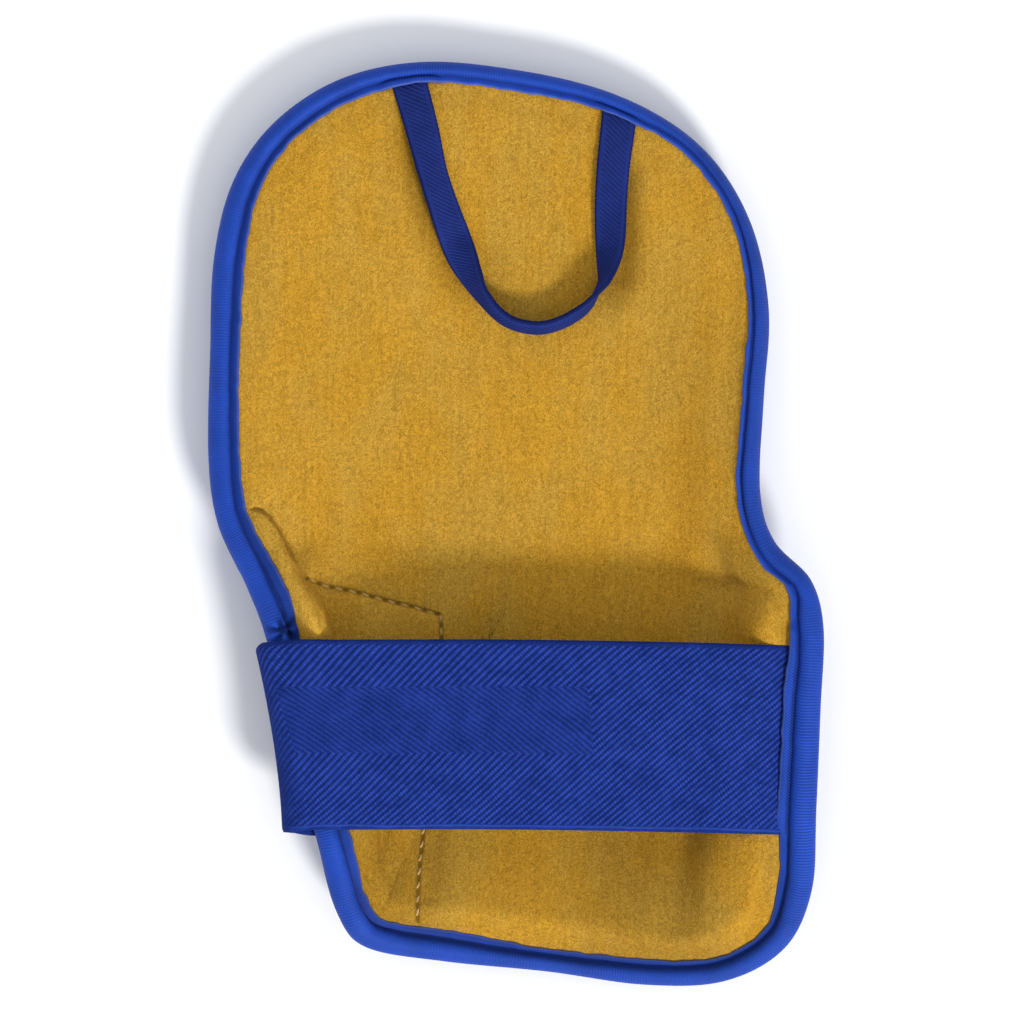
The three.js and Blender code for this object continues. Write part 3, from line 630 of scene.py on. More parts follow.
def finish_piece(name, mesh, material, slot, *nodes):
    """Makes the bmesh an object that rides on the guard and stands for the CAD nodes."""
    bmesh.ops.recalc_face_normals(mesh, faces=mesh.faces[:])
    data = bpy.data.meshes.new(name)
    mesh.to_mesh(data)
    mesh.free()
    data.shade_smooth()
    data.materials.append(material)
    obj = bpy.data.objects.new(name, data)
    bpy.context.scene.collection.objects.link(obj)
    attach(obj, BODY)
    if nodes:
        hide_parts(*nodes)
    return obj


# Materials

# The strap's weave, in millimetres from its sewn end and its upper edge: its floats, its plain panel's sides
# along and across it, and its smooth edges, with a painted highlight along the lower one.
TWILL_ANGLE, FLOAT_ANGLE, FLOAT_PITCH = math.radians(40), math.radians(121), 0.64
PANEL_LEFT, PANEL_RIGHT = (-101.9, -101.3), (-42.4, -42.0)
PANEL_LOW, PANEL_HIGH = (-22.6, -22.2), (-9.5, -9.1)
SELVEDGE_HIGH, SELVEDGE_LOW, SELVEDGE_HIGHLIGHT, SELVEDGE_FADE = 1.2, 0.9, 0.75, 0.4
FOLD_SHADE = (-107.0, -100.0)  # the weave fades and is painted darker towards the fold, as painted shade
LOOP_TWILL_ANGLE, LOOP_TWILL_PITCH = math.radians(38), 0.7
LOOP_SIDE, LOOP_SELVEDGE = (1.9, 2.4), (0.45, 0.1)  # from its middle, and from its edge

# Painted shade and painted light on the lining: the tints that darken or brighten its colour where it lies in
# shade or in light.
PAINTED_SHADE_TINT, PAINTED_LIGHT_TINT = (0.12, 0.12, 0.12), (1.5, 1.5, 1.6)
# Painted shade beside the loop: between places along the loop's line and away from it, in millimetres.
LOOP_SHADE_STARTS, LOOP_SHADE_ENDS = ((4.0, 18.0), (64.0, 72.0)), ((34.0, 44.0), (94.0, 110.0))
LOOP_SHADE_REACH, LOOP_SHADE_DARK = (2.4, 8.4), 0.42
# Painted shade towards the wrist, most of all at the left and right of the middle, in metres.
WRIST_SHADE_Y, WRIST_SHADE = (-0.068, -0.054), 0.1
LEFT_SHADE_X, LEFT_SHADE = (-0.026, -0.006), 0.26
RIGHT_SHADE_START, RIGHT_SHADE_END, RIGHT_SHADE = (0.004, 0.026), (0.036, 0.046), 0.2
# Painted shade in the furrow by the right shoulder.
FURROW_LEFT, FURROW_RIGHT = (0.037, 0.0425), (0.0475, 0.0525)
FURROW_LOW, FURROW_HIGH, FURROW_SHADE = (-0.014, -0.009), (-0.005, 0.001), 0.3
# Painted light along a line on the left flank over the strap.
FLANK_SLOPE_X, FLANK_SLOPE_Y, FLANK_AT, FLANK_HALF = 0.939, 0.343, 0.0461, (0.0012, 0.003)
FLANK_LOW, FLANK_HIGH, FLANK_PAINTED_LIGHT = (-0.03, -0.024), (-0.014, -0.006), 0.6

# The marks of a stitch line in the lining, which take painted shade in the groove and holes, in millimetres:
# how far past its ends and before them they fade, where the groove's sides lie, and where a hole's rim lies,
# squared, and how long it is.
MARK_OUT, MARK_IN, GROOVE_SIDE = 0.4, 0.2, (0.1, 0.7)
HOLE_RIM, HOLE_LONG = (0.04, 0.22), 0.35  # a hole is the longer, the smaller this share is

# Where the binding gets painted shade or painted light on its flange, stronger ribs, or a darker roll, in
# metres.
BINDING_LEFT_X, BINDING_WRIST_Y = (-0.045, -0.02), (-0.078, -0.066)
BINDING_RIGHT_X, BINDING_RIGHT_Y = (0.035, 0.055), (-0.026, -0.01)
BINDING_UPPER_X, BINDING_UPPER_Y = (0.02, 0.04), (-0.02, 0.0)
# Painted shade in the groove, and pale fuzz with a painted highlight along the flange's rim.
GROOVE_SHADE, RIM_FUZZ_AND_HIGHLIGHT, RIM_FUZZ_AND_HIGHLIGHT_COLOUR = (0.003, 0.02), (0.004, 0.018), (0.09, 0.13, 0.36)


class Value:
    """A socket that carries numbers, so that shader maths is written as a Python expression."""

    def __init__(self, finish, socket):
        self.finish, self.socket = finish, socket

    def maths(self, operation, *operands):
        return self.finish.node("Math", {"operation": operation}, dict(enumerate(operands)))

    def __add__(self, other):
        return self.maths("ADD", self, other)

    def __radd__(self, other):
        return self.maths("ADD", other, self)

    def __sub__(self, other):
        return self.maths("SUBTRACT", self, other)

    def __rsub__(self, other):
        return self.maths("SUBTRACT", other, self)

    def __mul__(self, other):
        return self.maths("MULTIPLY", self, other)

    def __rmul__(self, other):
        return self.maths("MULTIPLY", other, self)

    def __truediv__(self, other):
        return self.maths("DIVIDE", self, other)

    def __pow__(self, other):
        return self.maths("POWER", self, other)

    def __lt__(self, other):
        return self.maths("LESS_THAN", self, other)

    def __gt__(self, other):
        return self.maths("GREATER_THAN", self, other)

    def wave(self):
        """The sine of the value, which is in turns."""
        return self.maths("SINE", self.maths("MULTIPLY", self, 2 * math.pi))

    def size(self):
        return self.maths("ABSOLUTE", self)

    def remainder(self, step):
        return self.maths("FLOORED_MODULO", self, step)

    def within(self, low, high):
        """Eases from 0 where the value is at low to 1 where it is at high."""
        inputs = {"Value": self, "From Min": low, "From Max": high}
        return self.finish.node("MapRange", {"interpolation_type": "SMOOTHSTEP"}, inputs)

    def between(self, start, end):
        """Eases from 0 to 1 over the start and back to 0 over the end."""
        return self.within(*start) * (1 - self.within(*end))


class Finish:
    """A material of nodes round one principled shader."""

    def __init__(self, name, **constants):
        self.material = bpy.data.materials.new(name)
        self.material.use_nodes = True
        self.tree = self.material.node_tree
        self.shader = self.tree.nodes["Principled BSDF"]
        for socket, value in constants.items():
            self.shader.inputs[socket.replace("_", " ")].default_value = value

    def node(self, kind, settings=None, inputs=None, output=0):
        """Adds a node of a type, with its settings first and then the values or links of its sockets."""
        made = self.tree.nodes.new("ShaderNode" + kind)
        for name, value in (settings or {}).items():
            setattr(made, name, value)
        for socket, value in (inputs or {}).items():
            if isinstance(value, Value):
                self.tree.links.new(value.socket, made.inputs[socket])
            else:
                made.inputs[socket].default_value = value
        return Value(self, made.outputs[output])

    def feed(self, socket, value):
        self.tree.links.new(value.socket, self.shader.inputs[socket])

    def place(self):
        return self.node("TexCoord", output="Object")

    def uv(self, name):
        return self.node("UVMap", {"uv_map": name})

    def parts(self, vector):
        split = self.node("SeparateXYZ", inputs={0: vector})
        return [Value(self, socket) for socket in split.socket.node.outputs]

    def stretched(self, vector, scale, turn=0.0):
        """The vector turned about Z and stretched along each axis."""
        return self.node("Mapping", inputs={"Vector": vector, "Rotation": (0, 0, turn), "Scale": scale})

    def noise(self, vector, size, detail=3.0, roughness=0.55, distortion=0.0):
        """Noise from 0 to 1 whose grains are about the given size."""
        inputs = {"Vector": vector, "Scale": 1 / size, "Detail": detail, "Roughness": roughness}
        return self.node("TexNoise", inputs={**inputs, "Distortion": distortion})

    def cells(self, vector, size):
        return self.node("TexVoronoi", inputs={"Vector": vector, "Scale": 1 / size})

    def colour(self, factor, first, second, mode="MIX"):
        """Mixes two colours, which may be values or tuples."""
        inputs = {0: factor, 6: self.four(first), 7: self.four(second)}
        return self.node("Mix", {"data_type": "RGBA", "blend_type": mode}, inputs, output=2)

    def tinted(self, factor, colour, tint):
        return self.colour(factor, colour, tint, "MULTIPLY")

    def four(self, colour):
        return colour if isinstance(colour, Value) else (*colour[:3], 1.0)

    def bump(self, height, distance, strength=1.0, normal=None):
        inputs = {"Height": height, "Distance": distance, "Strength": strength}
        if normal is not None:
            inputs["Normal"] = normal
        return self.node("Bump", inputs=inputs)


def shade(colour, factor):
    """A colour made lighter or darker."""
    return tuple(part * factor for part in colour[:3])


def fade(colour, factor, pale):
    """A colour made lighter and less strong."""
    return tuple(part * factor + pale for part in colour[:3])


def painted_loop_shade(finish):
    """How strongly painted shade darkens the lining on the outer side of the finger loop, under its raised
    edges.
    """
    along, aside = finish.parts(finish.uv("loop"))[:2]
    shown = 0
    for start, end in zip(LOOP_SHADE_STARTS, LOOP_SHADE_ENDS):
        shown = shown + along.between(start, end)
    return shown * (1 - aside.within(*LOOP_SHADE_REACH)) * (aside > 0)


def stitch_marks(finish, name, pitch):
    """How much the lining is a groove at a stitch line, and how much it is a hole of its stitches."""
    length = arc_lengths(np.array(STITCH_LINES[name]))[-1]
    along, aside = finish.parts(finish.uv(name))[:2]
    shown = along.between((-MARK_OUT, MARK_IN), (length - MARK_IN, length + MARK_OUT))
    from_hole = along.remainder(pitch)
    from_hole = from_hole - pitch * (from_hole > pitch / 2)
    hole = 1 - (from_hole * from_hole * HOLE_LONG + aside * aside).within(*HOLE_RIM)
    return (1 - aside.size().within(*GROOVE_SIDE)) * shown, hole * shown


def painted_light_and_shade(finish, place, cloth):
    """The cloth, with painted shade where it lies in shade or faces away from the light, and painted light
    where it faces the light.
    """
    # Painted shade on the outer sides of the finger loop.
    cloth = finish.tinted(painted_loop_shade(finish) * LOOP_SHADE_DARK, cloth, PAINTED_SHADE_TINT)
    x, y = finish.parts(place)[:2]
    # Painted shade towards the wrist, most of all at the left and right of the middle.
    side_shade = (1 - x.within(*LEFT_SHADE_X)) * LEFT_SHADE + x.between(RIGHT_SHADE_START, RIGHT_SHADE_END) * RIGHT_SHADE
    cloth = finish.tinted((1 - y.within(*WRIST_SHADE_Y)) * (side_shade + WRIST_SHADE), cloth, PAINTED_SHADE_TINT)
    # Painted shade in the furrow by the right shoulder.
    furrow = x.between(FURROW_LEFT, FURROW_RIGHT) * y.between(FURROW_LOW, FURROW_HIGH)
    cloth = finish.tinted(furrow * FURROW_SHADE, cloth, PAINTED_SHADE_TINT)
    # Painted light along a line on the left flank.
    away = (x * FLANK_SLOPE_X + y * FLANK_SLOPE_Y + FLANK_AT).size().within(*FLANK_HALF)
    flank = (1 - away) * y.between(FLANK_LOW, FLANK_HIGH)
    return finish.tinted(flank * FLANK_PAINTED_LIGHT, cloth, PAINTED_LIGHT_TINT)


def lining_finish(settings):
    """Brushed cloth: a fuzzy nap with clumps and faint streaks, with painted shade in its crease, its stitch
    grooves and holes, and painted light and shade where it lies in light or shade.
    """
    finish = Finish("brushed_lining", Roughness=0.95, Specular_IOR_Level=0.1)
    place = finish.place()
    base = settings.lining_colour
    fuzz_place = finish.stretched(place, (1900, 1500, 1900))
    fuzz = finish.noise(fuzz_place, 1.0, detail=2.0, roughness=0.5, distortion=1.6)
    hair = finish.noise(finish.stretched(place, (3600, 2800, 3600), 0.5), 1.0, detail=1.0, distortion=2.4)
    blotch = finish.noise(place, 0.018, detail=2.0)
    streak = finish.noise(finish.stretched(place, (1100, 90, 300)), 1.0, detail=2.0)
    tone = (fuzz - 0.5) * 2.0 + (hair - 0.5) * 1.5 + (blotch - 0.5) * 0.25 + (streak - 0.5) * 0.45 + 0.5
    cloth = finish.colour(tone.within(0.0, 1.0), shade(base, 0.66), fade(base, 1.26, 0.008))
    warmth = finish.noise(finish.stretched(place, (95, 50, 60)), 1.0, detail=2.0).within(0.35, 0.65)
    cloth = finish.tinted(1.0, cloth, finish.colour(warmth, (0.99, 1.03, 1.3), (1.02, 0.975, 0.85)))
    cloth = painted_light_and_shade(finish, place, cloth)
    along, aside = finish.parts(finish.uv("crease"))[:2]
    crease = (1 - aside.size().within(0.05, 0.5)) * along.between(CREASE_START, CREASE_END)
    # Painted shade in the crease.
    cloth = finish.colour(crease * 0.3, cloth, shade(base, 0.3))
    seam = 0
    for name in STITCH_LINES:
        groove, hole = stitch_marks(finish, name, settings.stitch_pitch / MM)
        # Painted shade in the stitch line's groove and in its holes.
        cloth = finish.colour(groove * 0.45, cloth, shade(base, 0.5))
        cloth = finish.colour(hole * 0.7, cloth, shade(base, 0.22))
        seam = seam + groove
    finish.feed("Base Color", cloth)
    nap = finish.bump(fuzz * 0.7 + hair * 0.4 + streak * 0.15, 0.0002)
    finish.feed("Normal", finish.bump(0 - seam - crease, 0.0003, normal=nap))
    return finish.material


def binding_finish(settings):
    """Finely ribbed woven tape, with ribs across it, painted shade in its groove and on its flange at the
    left and the wrist, and painted light on its flange at the upper right.
    """
    finish = Finish("ribbed_binding_tape", Roughness=0.62, Specular_IOR_Level=0.2)
    base = settings.binding_colour
    across, along = finish.parts(finish.uv("shares"))[:2]
    along = along * PANEL.girth
    groove = section_share(*BINDING_GROOVE)
    rim = section_share(*BINDING_RIM)
    in_flange = (across < groove) * 1.0
    slant = in_flange * (across - groove) * FLANGE_SKEW
    dark = 1 - (across - groove).size().within(*GROOVE_SHADE)
    pale = 1 - (across - rim).size().within(*RIM_FUZZ_AND_HIGHLIGHT)
    place = finish.place()
    x, y = finish.parts(place)[:2]
    left_side = 1 - x.within(*BINDING_LEFT_X)
    right_side = x.within(*BINDING_RIGHT_X) * (1 - y.within(*BINDING_RIGHT_Y))
    upper_right = x.within(*BINDING_UPPER_X) * y.within(*BINDING_UPPER_Y)
    wrist_side = 1 - y.within(*BINDING_WRIST_Y)
    drift = finish.noise(place, 0.006, detail=1.0) * 0.5
    rib = ((along + slant + drift) / (settings.rib_pitch / MM)).wave() * 0.5 + 0.5
    fibre = finish.noise(place, 0.0005, detail=3.0, roughness=0.65)
    patch = finish.noise(place, 0.007, detail=2.0)
    # The ribs stand out more on the right side, in bump and in colour; in colour this is painted light and
    # shade.
    clear = 0.2 + finish.noise(place, 0.011, detail=1.0).within(0.35, 0.65) * 0.35 + right_side * 0.5
    tone = 0.5 + (rib - 0.5) * clear * 0.42 + (fibre - 0.5) * 0.5 + (patch - 0.5) * 0.5
    # Painted light and shade of the pucker: lighter on its ridges, darker in its hollow.
    tone = tone + finish.parts(finish.uv("pucker"))[0] * 0.9
    tape = finish.colour(tone.within(0.0, 1.0), shade(base, 0.6), shade(base, 1.4))
    # Painted shade on the flange at the left and on the wrist side.
    tape = finish.colour(in_flange * (left_side * 0.5 + wrist_side * 0.5), tape, shade(base, 0.35))
    # Painted light on the flange at the upper right.
    tape = finish.colour(in_flange * upper_right * 0.35, tape, fade(base, 1.3, 0.02))
    # The roll is darker at the upper right and on the wrist side.
    tape = finish.colour((1 - in_flange) * (upper_right * 0.2 + wrist_side * 0.14), tape, shade(base, 0.1))
    # Painted shade in the groove between the roll and the flange.
    tape = finish.colour(dark * (0.35 + patch * 0.6), tape, shade(base, 0.25))
    # Pale fuzz and a painted highlight along the flange's inner rim.
    tape = finish.colour(pale * (0.3 + fibre * 0.5), tape, RIM_FUZZ_AND_HIGHLIGHT_COLOUR)
    finish.feed("Base Color", tape)
    finish.feed("Roughness", 0.55 + fibre * 0.2)
    finish.feed("Normal", finish.bump(rib * clear + fibre * 0.5, 0.00009))
    return finish.material


def diagonal(finish, x, y, angle, pitch):
    """Ribs at an angle, from 0 to 1. All is in millimetres."""
    return ((y * math.cos(angle) - x * math.sin(angle)) / pitch).wave() * 0.5 + 0.5


def elastic_finish(settings):
    """Woven elastic: a diagonal rib, crossed by floats and reversed in a plain panel, with smooth edges, a
    painted highlight along the lower edge, and painted shade towards the fold.
    """
    finish = Finish("woven_elastic", Roughness=0.8, Specular_IOR_Level=0.05)
    base = settings.strap_colour
    across, along = finish.parts(finish.uv("shares"))[:2]
    place = finish.place()
    drift = (finish.noise(place, 0.008, detail=2.0) - 0.5) * 0.7
    x = along * -STRAP_LENGTH + drift
    y = across * -STRAP_WIDTH + drift
    pitch = settings.twill_pitch / MM
    rib = diagonal(finish, x, y, TWILL_ANGLE, pitch)
    floats = diagonal(finish, x, y, FLOAT_ANGLE, FLOAT_PITCH) ** 0.7
    back = diagonal(finish, x, y, -TWILL_ANGLE, pitch)
    panel = x.between(PANEL_LEFT, PANEL_RIGHT) * y.between(PANEL_LOW, PANEL_HIGH)
    uneven = finish.noise(place, 0.0013, detail=1.0).within(0.3, 0.7)
    ribbed = rib * (0.3 + floats * (0.12 + uneven * 0.42)) + 0.16
    weave = ribbed * (1 - panel) + (back * 0.26 + 0.24) * panel
    low, high = SELVEDGE_LOW - STRAP_WIDTH, -SELVEDGE_HIGH
    ground = y.between((low, low + SELVEDGE_FADE), (high, high + SELVEDGE_FADE))
    # A painted highlight along the lower edge, where light falls on the strap's thickness.
    ridge = 1 - (y + (STRAP_WIDTH - SELVEDGE_HIGHLIGHT)).size().within(0.08, 0.3)
    weave = weave * ground + (1 - ground) * 0.3 + ridge * 0.3
    # Towards the fold the weave fades and is painted darker, as painted shade.
    fold_shade = 1 - x.within(*FOLD_SHADE)
    weave = weave * (1 - fold_shade * 0.8) + fold_shade * 0.27
    fibre = finish.noise(place, 0.0004, detail=3.0, roughness=0.6)
    patch = finish.noise(place, 0.004, detail=3.0)
    tone = weave + (fibre - 0.5) * 0.5 + (patch - 0.5) * 0.35
    finish.feed("Base Color", finish.colour(tone.within(0.0, 1.0), shade(base, 0.45), fade(base, 1.9, 0.016)))
    finish.feed("Normal", finish.bump(weave + fibre * 0.3, 0.00012))
    return finish.material


def loop_finish(settings):
    """Narrow tape: fine twill down its middle, with smooth edges, a little paler, and a dark selvedge."""
    finish = Finish("loop_tape", Roughness=0.8, Specular_IOR_Level=0.1)
    base = settings.loop_colour
    across, along = finish.parts(finish.uv("shares"))[:2]
    place = finish.place()
    x = across * LOOP_WIDTH
    y = along * LOOP_LENGTH
    rib = diagonal(finish, x, y, LOOP_TWILL_ANGLE, LOOP_TWILL_PITCH)
    off_middle = (x - LOOP_WIDTH / 2).size()
    side = off_middle.within(*LOOP_SIDE)
    selvedge = off_middle.within(*(LOOP_WIDTH / 2 - inset for inset in LOOP_SELVEDGE))
    fibre = finish.noise(place, 0.00045, detail=3.0, roughness=0.6)
    patch = finish.noise(place, 0.004, detail=2.0)
    tone = (rib * rib * 0.3 + 0.32) * (1 - side) + side * 0.5 - selvedge * 0.35
    tone = tone + (fibre - 0.5) * 0.45 + (patch - 0.5) * 0.3
    finish.feed("Base Color", finish.colour(tone.within(0.0, 1.0), shade(base, 0.45), fade(base, 1.5, 0.006)))
    finish.feed("Normal", finish.bump(rib * (1 - side) + fibre * 0.4, 0.0001))
    return finish.material


def cover_finish(settings):
    """Matt synthetic leather with a fine grain."""
    finish = Finish("grained_cover", Roughness=0.5, Coat_Weight=0.05, Coat_Roughness=0.4)
    base = settings.cover_colour
    place = finish.place()
    bent = finish.noise(place, 0.003, detail=2.0)
    bent_place = finish.node("VectorMath", {"operation": "ADD"}, {0: place, 1: bent * 0.0004})
    grain = finish.cells(bent_place, 0.0011)
    fine = finish.noise(place, 0.0006, detail=4.0, roughness=0.6)
    wear = finish.noise(place, 0.03, detail=3.0)
    tone = grain * 0.5 + (fine - 0.5) * 0.4 + (wear - 0.5) * 0.5 + 0.3
    finish.feed("Base Color", finish.colour(tone.within(0.0, 1.0), shade(base, 1.25), shade(base, 0.75)))
    finish.feed("Roughness", 0.42 + wear * 0.25)
    finish.feed("Normal", finish.bump(0 - grain * 0.7 + fine * 0.3, 0.00015))
    return finish.material


def pile_finish(settings):
    """Looped fastener pile: small dense tufts."""
    finish = Finish("fastener_pile", Roughness=0.95, Sheen_Weight=0.3, Sheen_Roughness=0.5)
    base = settings.pile_colour
    place = finish.place()
    tuft = finish.cells(place, 0.0011)
    fuzz = finish.noise(place, 0.0003, detail=4.0, roughness=0.7)
    tone = (1 - tuft) * 0.6 + (fuzz - 0.5) * 0.9
    finish.feed("Base Color", finish.colour(tone.within(0.0, 0.9), shade(base, 0.5), shade(base, 1.7)))
    finish.feed("Normal", finish.bump((1 - tuft) + fuzz, 0.0005))
    return finish.material


def thread_finish(settings):
    """Twisted thread."""
    finish = Finish("lining_thread", Roughness=0.6, Sheen_Weight=0.2)
    colour = settings.thread_colour
    place = finish.place()
    ply = finish.parts(finish.stretched(place, (2600, 2600, 2600), 0.7))[0].wave() * 0.5 + 0.5
    fibre = finish.noise(place, 0.0003, detail=3.0)
    finish.feed("Base Color", finish.colour(ply * 0.5 + fibre * 0.4, shade(colour, 0.7), shade(colour, 1.15)))
    finish.feed("Normal", finish.bump(ply + fibre * 0.5, 0.00006))
    return finish.material


def floor_finish(settings):
    """A pale matt table top with hardly any texture."""
    finish = Finish("pale_table", Roughness=0.8, Specular_IOR_Level=0.2)
    mottle = finish.noise(finish.place(), 0.05, detail=3.0)
    base = settings.floor_colour
    finish.feed("Base Color", finish.colour(mottle, shade(base, 0.995), shade(base, 1.0)))
    return finish.material


# The strap's and the loop's middle lines


def strap_line(across, count):
    """The strap's middle line at a share of the way across it, from its sewn end to its tail."""
    y = STRAP_EDGE_Y - STRAP_WIDTH * across
    run = []
    for number, (x, z) in enumerate(STRAP_RUN):
        slant = STRAP_END_SLANT * across if number == 0 else 0
        sink = STRAP_END_SINK * across * smooth(*STRAP_SINK_FADE, x)
        run.append((x + slant, y - STRAP_END_DROP * max(0, x / STRAP_END_X) ** 2, z - sink))
    bowed = 1 - (1 - across) ** STRAP_FOLD_BOW
    rounding = STRAP_CORNER * (1 - min(1, across / STRAP_CORNER_SHARE)) ** 2
    fold_x = STRAP_FOLD_UPPER_X + (STRAP_FOLD_LOWER_X - STRAP_FOLD_UPPER_X) * bowed
    fold_x = fold_x + STRAP_THICK / 2 + rounding
    fold = [
        (fold_x + inset, y + STRAP_TAIL_SHIFT_Y * number / len(STRAP_FOLD), z)
        for number, (inset, z) in enumerate(STRAP_FOLD)
    ]
    tail_x = np.linspace(fold_x + STRAP_TAIL_INSET, STRAP_TAIL_END_X, STRAP_TAIL_POINTS)
    t, r = PANEL.place_of(np.stack([tail_x, np.full(STRAP_TAIL_POINTS, y + STRAP_TAIL_SHIFT_Y)], 1))
    tail = PANEL.under(t, r, 2 * PATCH_GAP + PATCH_THICK + STRAP_THICK / 2)
    return open_curve([*run, *fold, *tail], count)


def loop_line(count):
    """The loop's middle line, its width's direction and its face's direction."""
    rows = np.array(LOOP, float)
    plan = rows[:, :2] + PLAN_SHIFT[:2]
    turn = np.radians(rows[:, 2])
    standing = LOOP_WIDTH / 2 * np.abs(np.sin(turn)) + LOOP_THICK / 2 * np.abs(np.cos(turn))
    z = PANEL.lining_under(plan)[2][:, 2] + rows[:, 3] + standing
    line = open_curve(np.column_stack([plan, z, turn * 10]), count)
    turn = line[:, 3] / 10
    line = line[:, :3]
    ahead = unit(np.gradient(line, axis=0))
    outwards = unit(np.column_stack([-ahead[:, 1], ahead[:, 0], np.zeros(count)]))
    width = outwards * np.cos(turn)[:, None] + np.array([0, 0, 1]) * np.sin(turn)[:, None]
    return line, width, unit(np.cross(ahead, width))


STRAP_LENGTH = arc_lengths(strap_line(0.5, LINE_STEPS))[-1]
LOOP_LENGTH = arc_lengths(loop_line(LINE_STEPS)[0])[-1]


# Operators and settings


def colour_setting(name, description, default):
    return FloatVectorProperty(
        name=name, description=description, subtype="COLOR", size=3, default=default, min=0, max=1
    )


def pitch_setting(name, description, default, low, high):
    return FloatProperty(
        name=name, description=description, unit="LENGTH", default=default, min=low, max=high
    )


class HandProtectorSettings(bpy.types.PropertyGroup):
    """The sizes and colours of the guard that a user may change."""

    lining_colour: colour_setting("Lining colour", "Colour of the brushed lining", (0.5, 0.265, 0.022))
    binding_colour: colour_setting("Binding colour", "Colour of the tape round the edge", (0.008, 0.05, 0.36))
    strap_colour: colour_setting("Strap colour", "Colour of the woven elastic", (0.006, 0.026, 0.2))
    loop_colour: colour_setting("Loop colour", "Colour of the finger loop's tape", (0.0085, 0.022, 0.158))
    cover_colour: colour_setting("Cover colour", "Colour of the outer cover", (0.02, 0.06, 0.38))
    pile_colour: colour_setting("Pile colour", "Colour of the fastener pile", (0.01, 0.02, 0.13))
    thread_colour: colour_setting("Thread colour", "Colour of the stitches on the lining", (0.54, 0.33, 0.1))
    floor_colour: colour_setting("Floor colour", "Colour of the table top", (0.95, 0.95, 0.95))
    rib_pitch: pitch_setting("Rib pitch", "Distance between the binding's ribs", 0.00058, 0.0003, 0.003)
    twill_pitch: pitch_setting("Twill pitch", "Distance between the strap's ribs", 0.001, 0.0005, 0.004)
    stitch_pitch: pitch_setting("Stitch pitch", "Distance between stitches", 0.0027, 0.001, 0.006)
    panel_parts: IntProperty(
        name="Panel parts", description="Squares across the lining's grid", default=170, min=40, max=220
    )


class PieceOperator:
    """What the operators share."""

    bl_options = {"REGISTER", "UNDO"}

    @property
    def settings(self):
        return bpy.context.scene.hand_protector


class HANDPROTECTOR_OT_cover(PieceOperator, bpy.types.Operator):
    """Build the padded shell with its grained outer cover"""

    bl_idname = "hand_protector.cover"
    bl_label = "Padded shell"

    FEWER = 30  # the cover's grid has fewer squares across than the lining's

    def execute(self, context):
        parts = self.settings.panel_parts - self.FEWER
        mesh, flat, low = layered_grid(parts, parts)
        t, r = disc_shares(flat)
        top = PANEL.upper(t, r, np.full(len(t), PAD_TOP))
        under = PANEL.under(t, r, np.zeros(len(t)))
        place_vertices(mesh, np.where(low[:, None], under, top))
        cover = finish_piece("padded_cover", mesh, cover_finish(self.settings), "cover", "padded_shell")
        return {"FINISHED"}


class HANDPROTECTOR_OT_lining(PieceOperator, bpy.types.Operator):
    """Build the brushed lining with its folds"""

    bl_idname = "hand_protector.lining"
    bl_label = "Lining"

    def execute(self, context):
        parts = self.settings.panel_parts
        mesh, flat, low = layered_grid(parts, parts)
        t, r = disc_shares(flat)
        place_vertices(mesh, PANEL.lining_top(t, r, np.where(low, LINING_THICK, 0)))
        plan = vertex_table(mesh)[:, :2] / MM
        lining = finish_piece("brushed_lining", mesh, lining_finish(self.settings), "lining_cloth", "lining")
        loop = np.array(LOOP, float)[:, :2] + PLAN_SHIFT[:2]
        for name, line in {"crease": CREASE_LINE, "loop": loop, **STITCH_LINES}.items():
            add_point_map(lining, name, *line_place(plan, line))
        return {"FINISHED"}


class HANDPROTECTOR_OT_stitches(PieceOperator, bpy.types.Operator):
    """Sew the thread of the fastener pile's stitch line into the lining"""

    bl_idname = "hand_protector.stitches"
    bl_label = "Stitches"

    LENGTH, HALF_THICK, SLANT = 1.7, 0.3, math.radians(-15)
    RISE = {"upper_stitches": -0.14, "lower_stitches": 0.12}  # how high the threads lie over the lining
    AHEAD = 0.01  # how far along its line a stitch finds its direction

    def laid(self, name, along):
        """The matrix that makes a ball a stitch and lays it at a place along its line."""
        line = np.array(STITCH_LINES[name])
        run = arc_lengths(line)
        ends = np.array([along, along + self.AHEAD])
        plan = np.stack([np.interp(ends, run, line[:, axis]) for axis in (0, 1)], 1)
        t, r, points = PANEL.lining_under(plan)
        up = Vector(PANEL.square(t, r)[0])
        point = points[0] + self.RISE[name] * np.array(up)
        forward = Vector(points[1] - points[0]).normalized()
        forward.rotate(Matrix.Rotation(self.SLANT, 3, up))
        turn = Matrix((forward, up.cross(forward), up)).transposed().to_4x4()
        size = Matrix.Diagonal((self.LENGTH / 2 * MM, self.HALF_THICK * MM, self.HALF_THICK * MM, 1))
        return Matrix.Translation(Vector(point) * MM) @ turn @ size

    def execute(self, context):
        mesh = bmesh.new()
        pitch = self.settings.stitch_pitch / MM
        for name, line in STITCH_LINES.items():
            length = arc_lengths(np.array(line))[-1]
            for along in np.arange(pitch / 2, length, pitch):
                matrix = self.laid(name, along)
                bmesh.ops.create_uvsphere(mesh, u_segments=8, v_segments=6, radius=1.0, matrix=matrix)
        finish_piece("pile_stitches", mesh, thread_finish(self.settings), "lining_cloth")
        return {"FINISHED"}


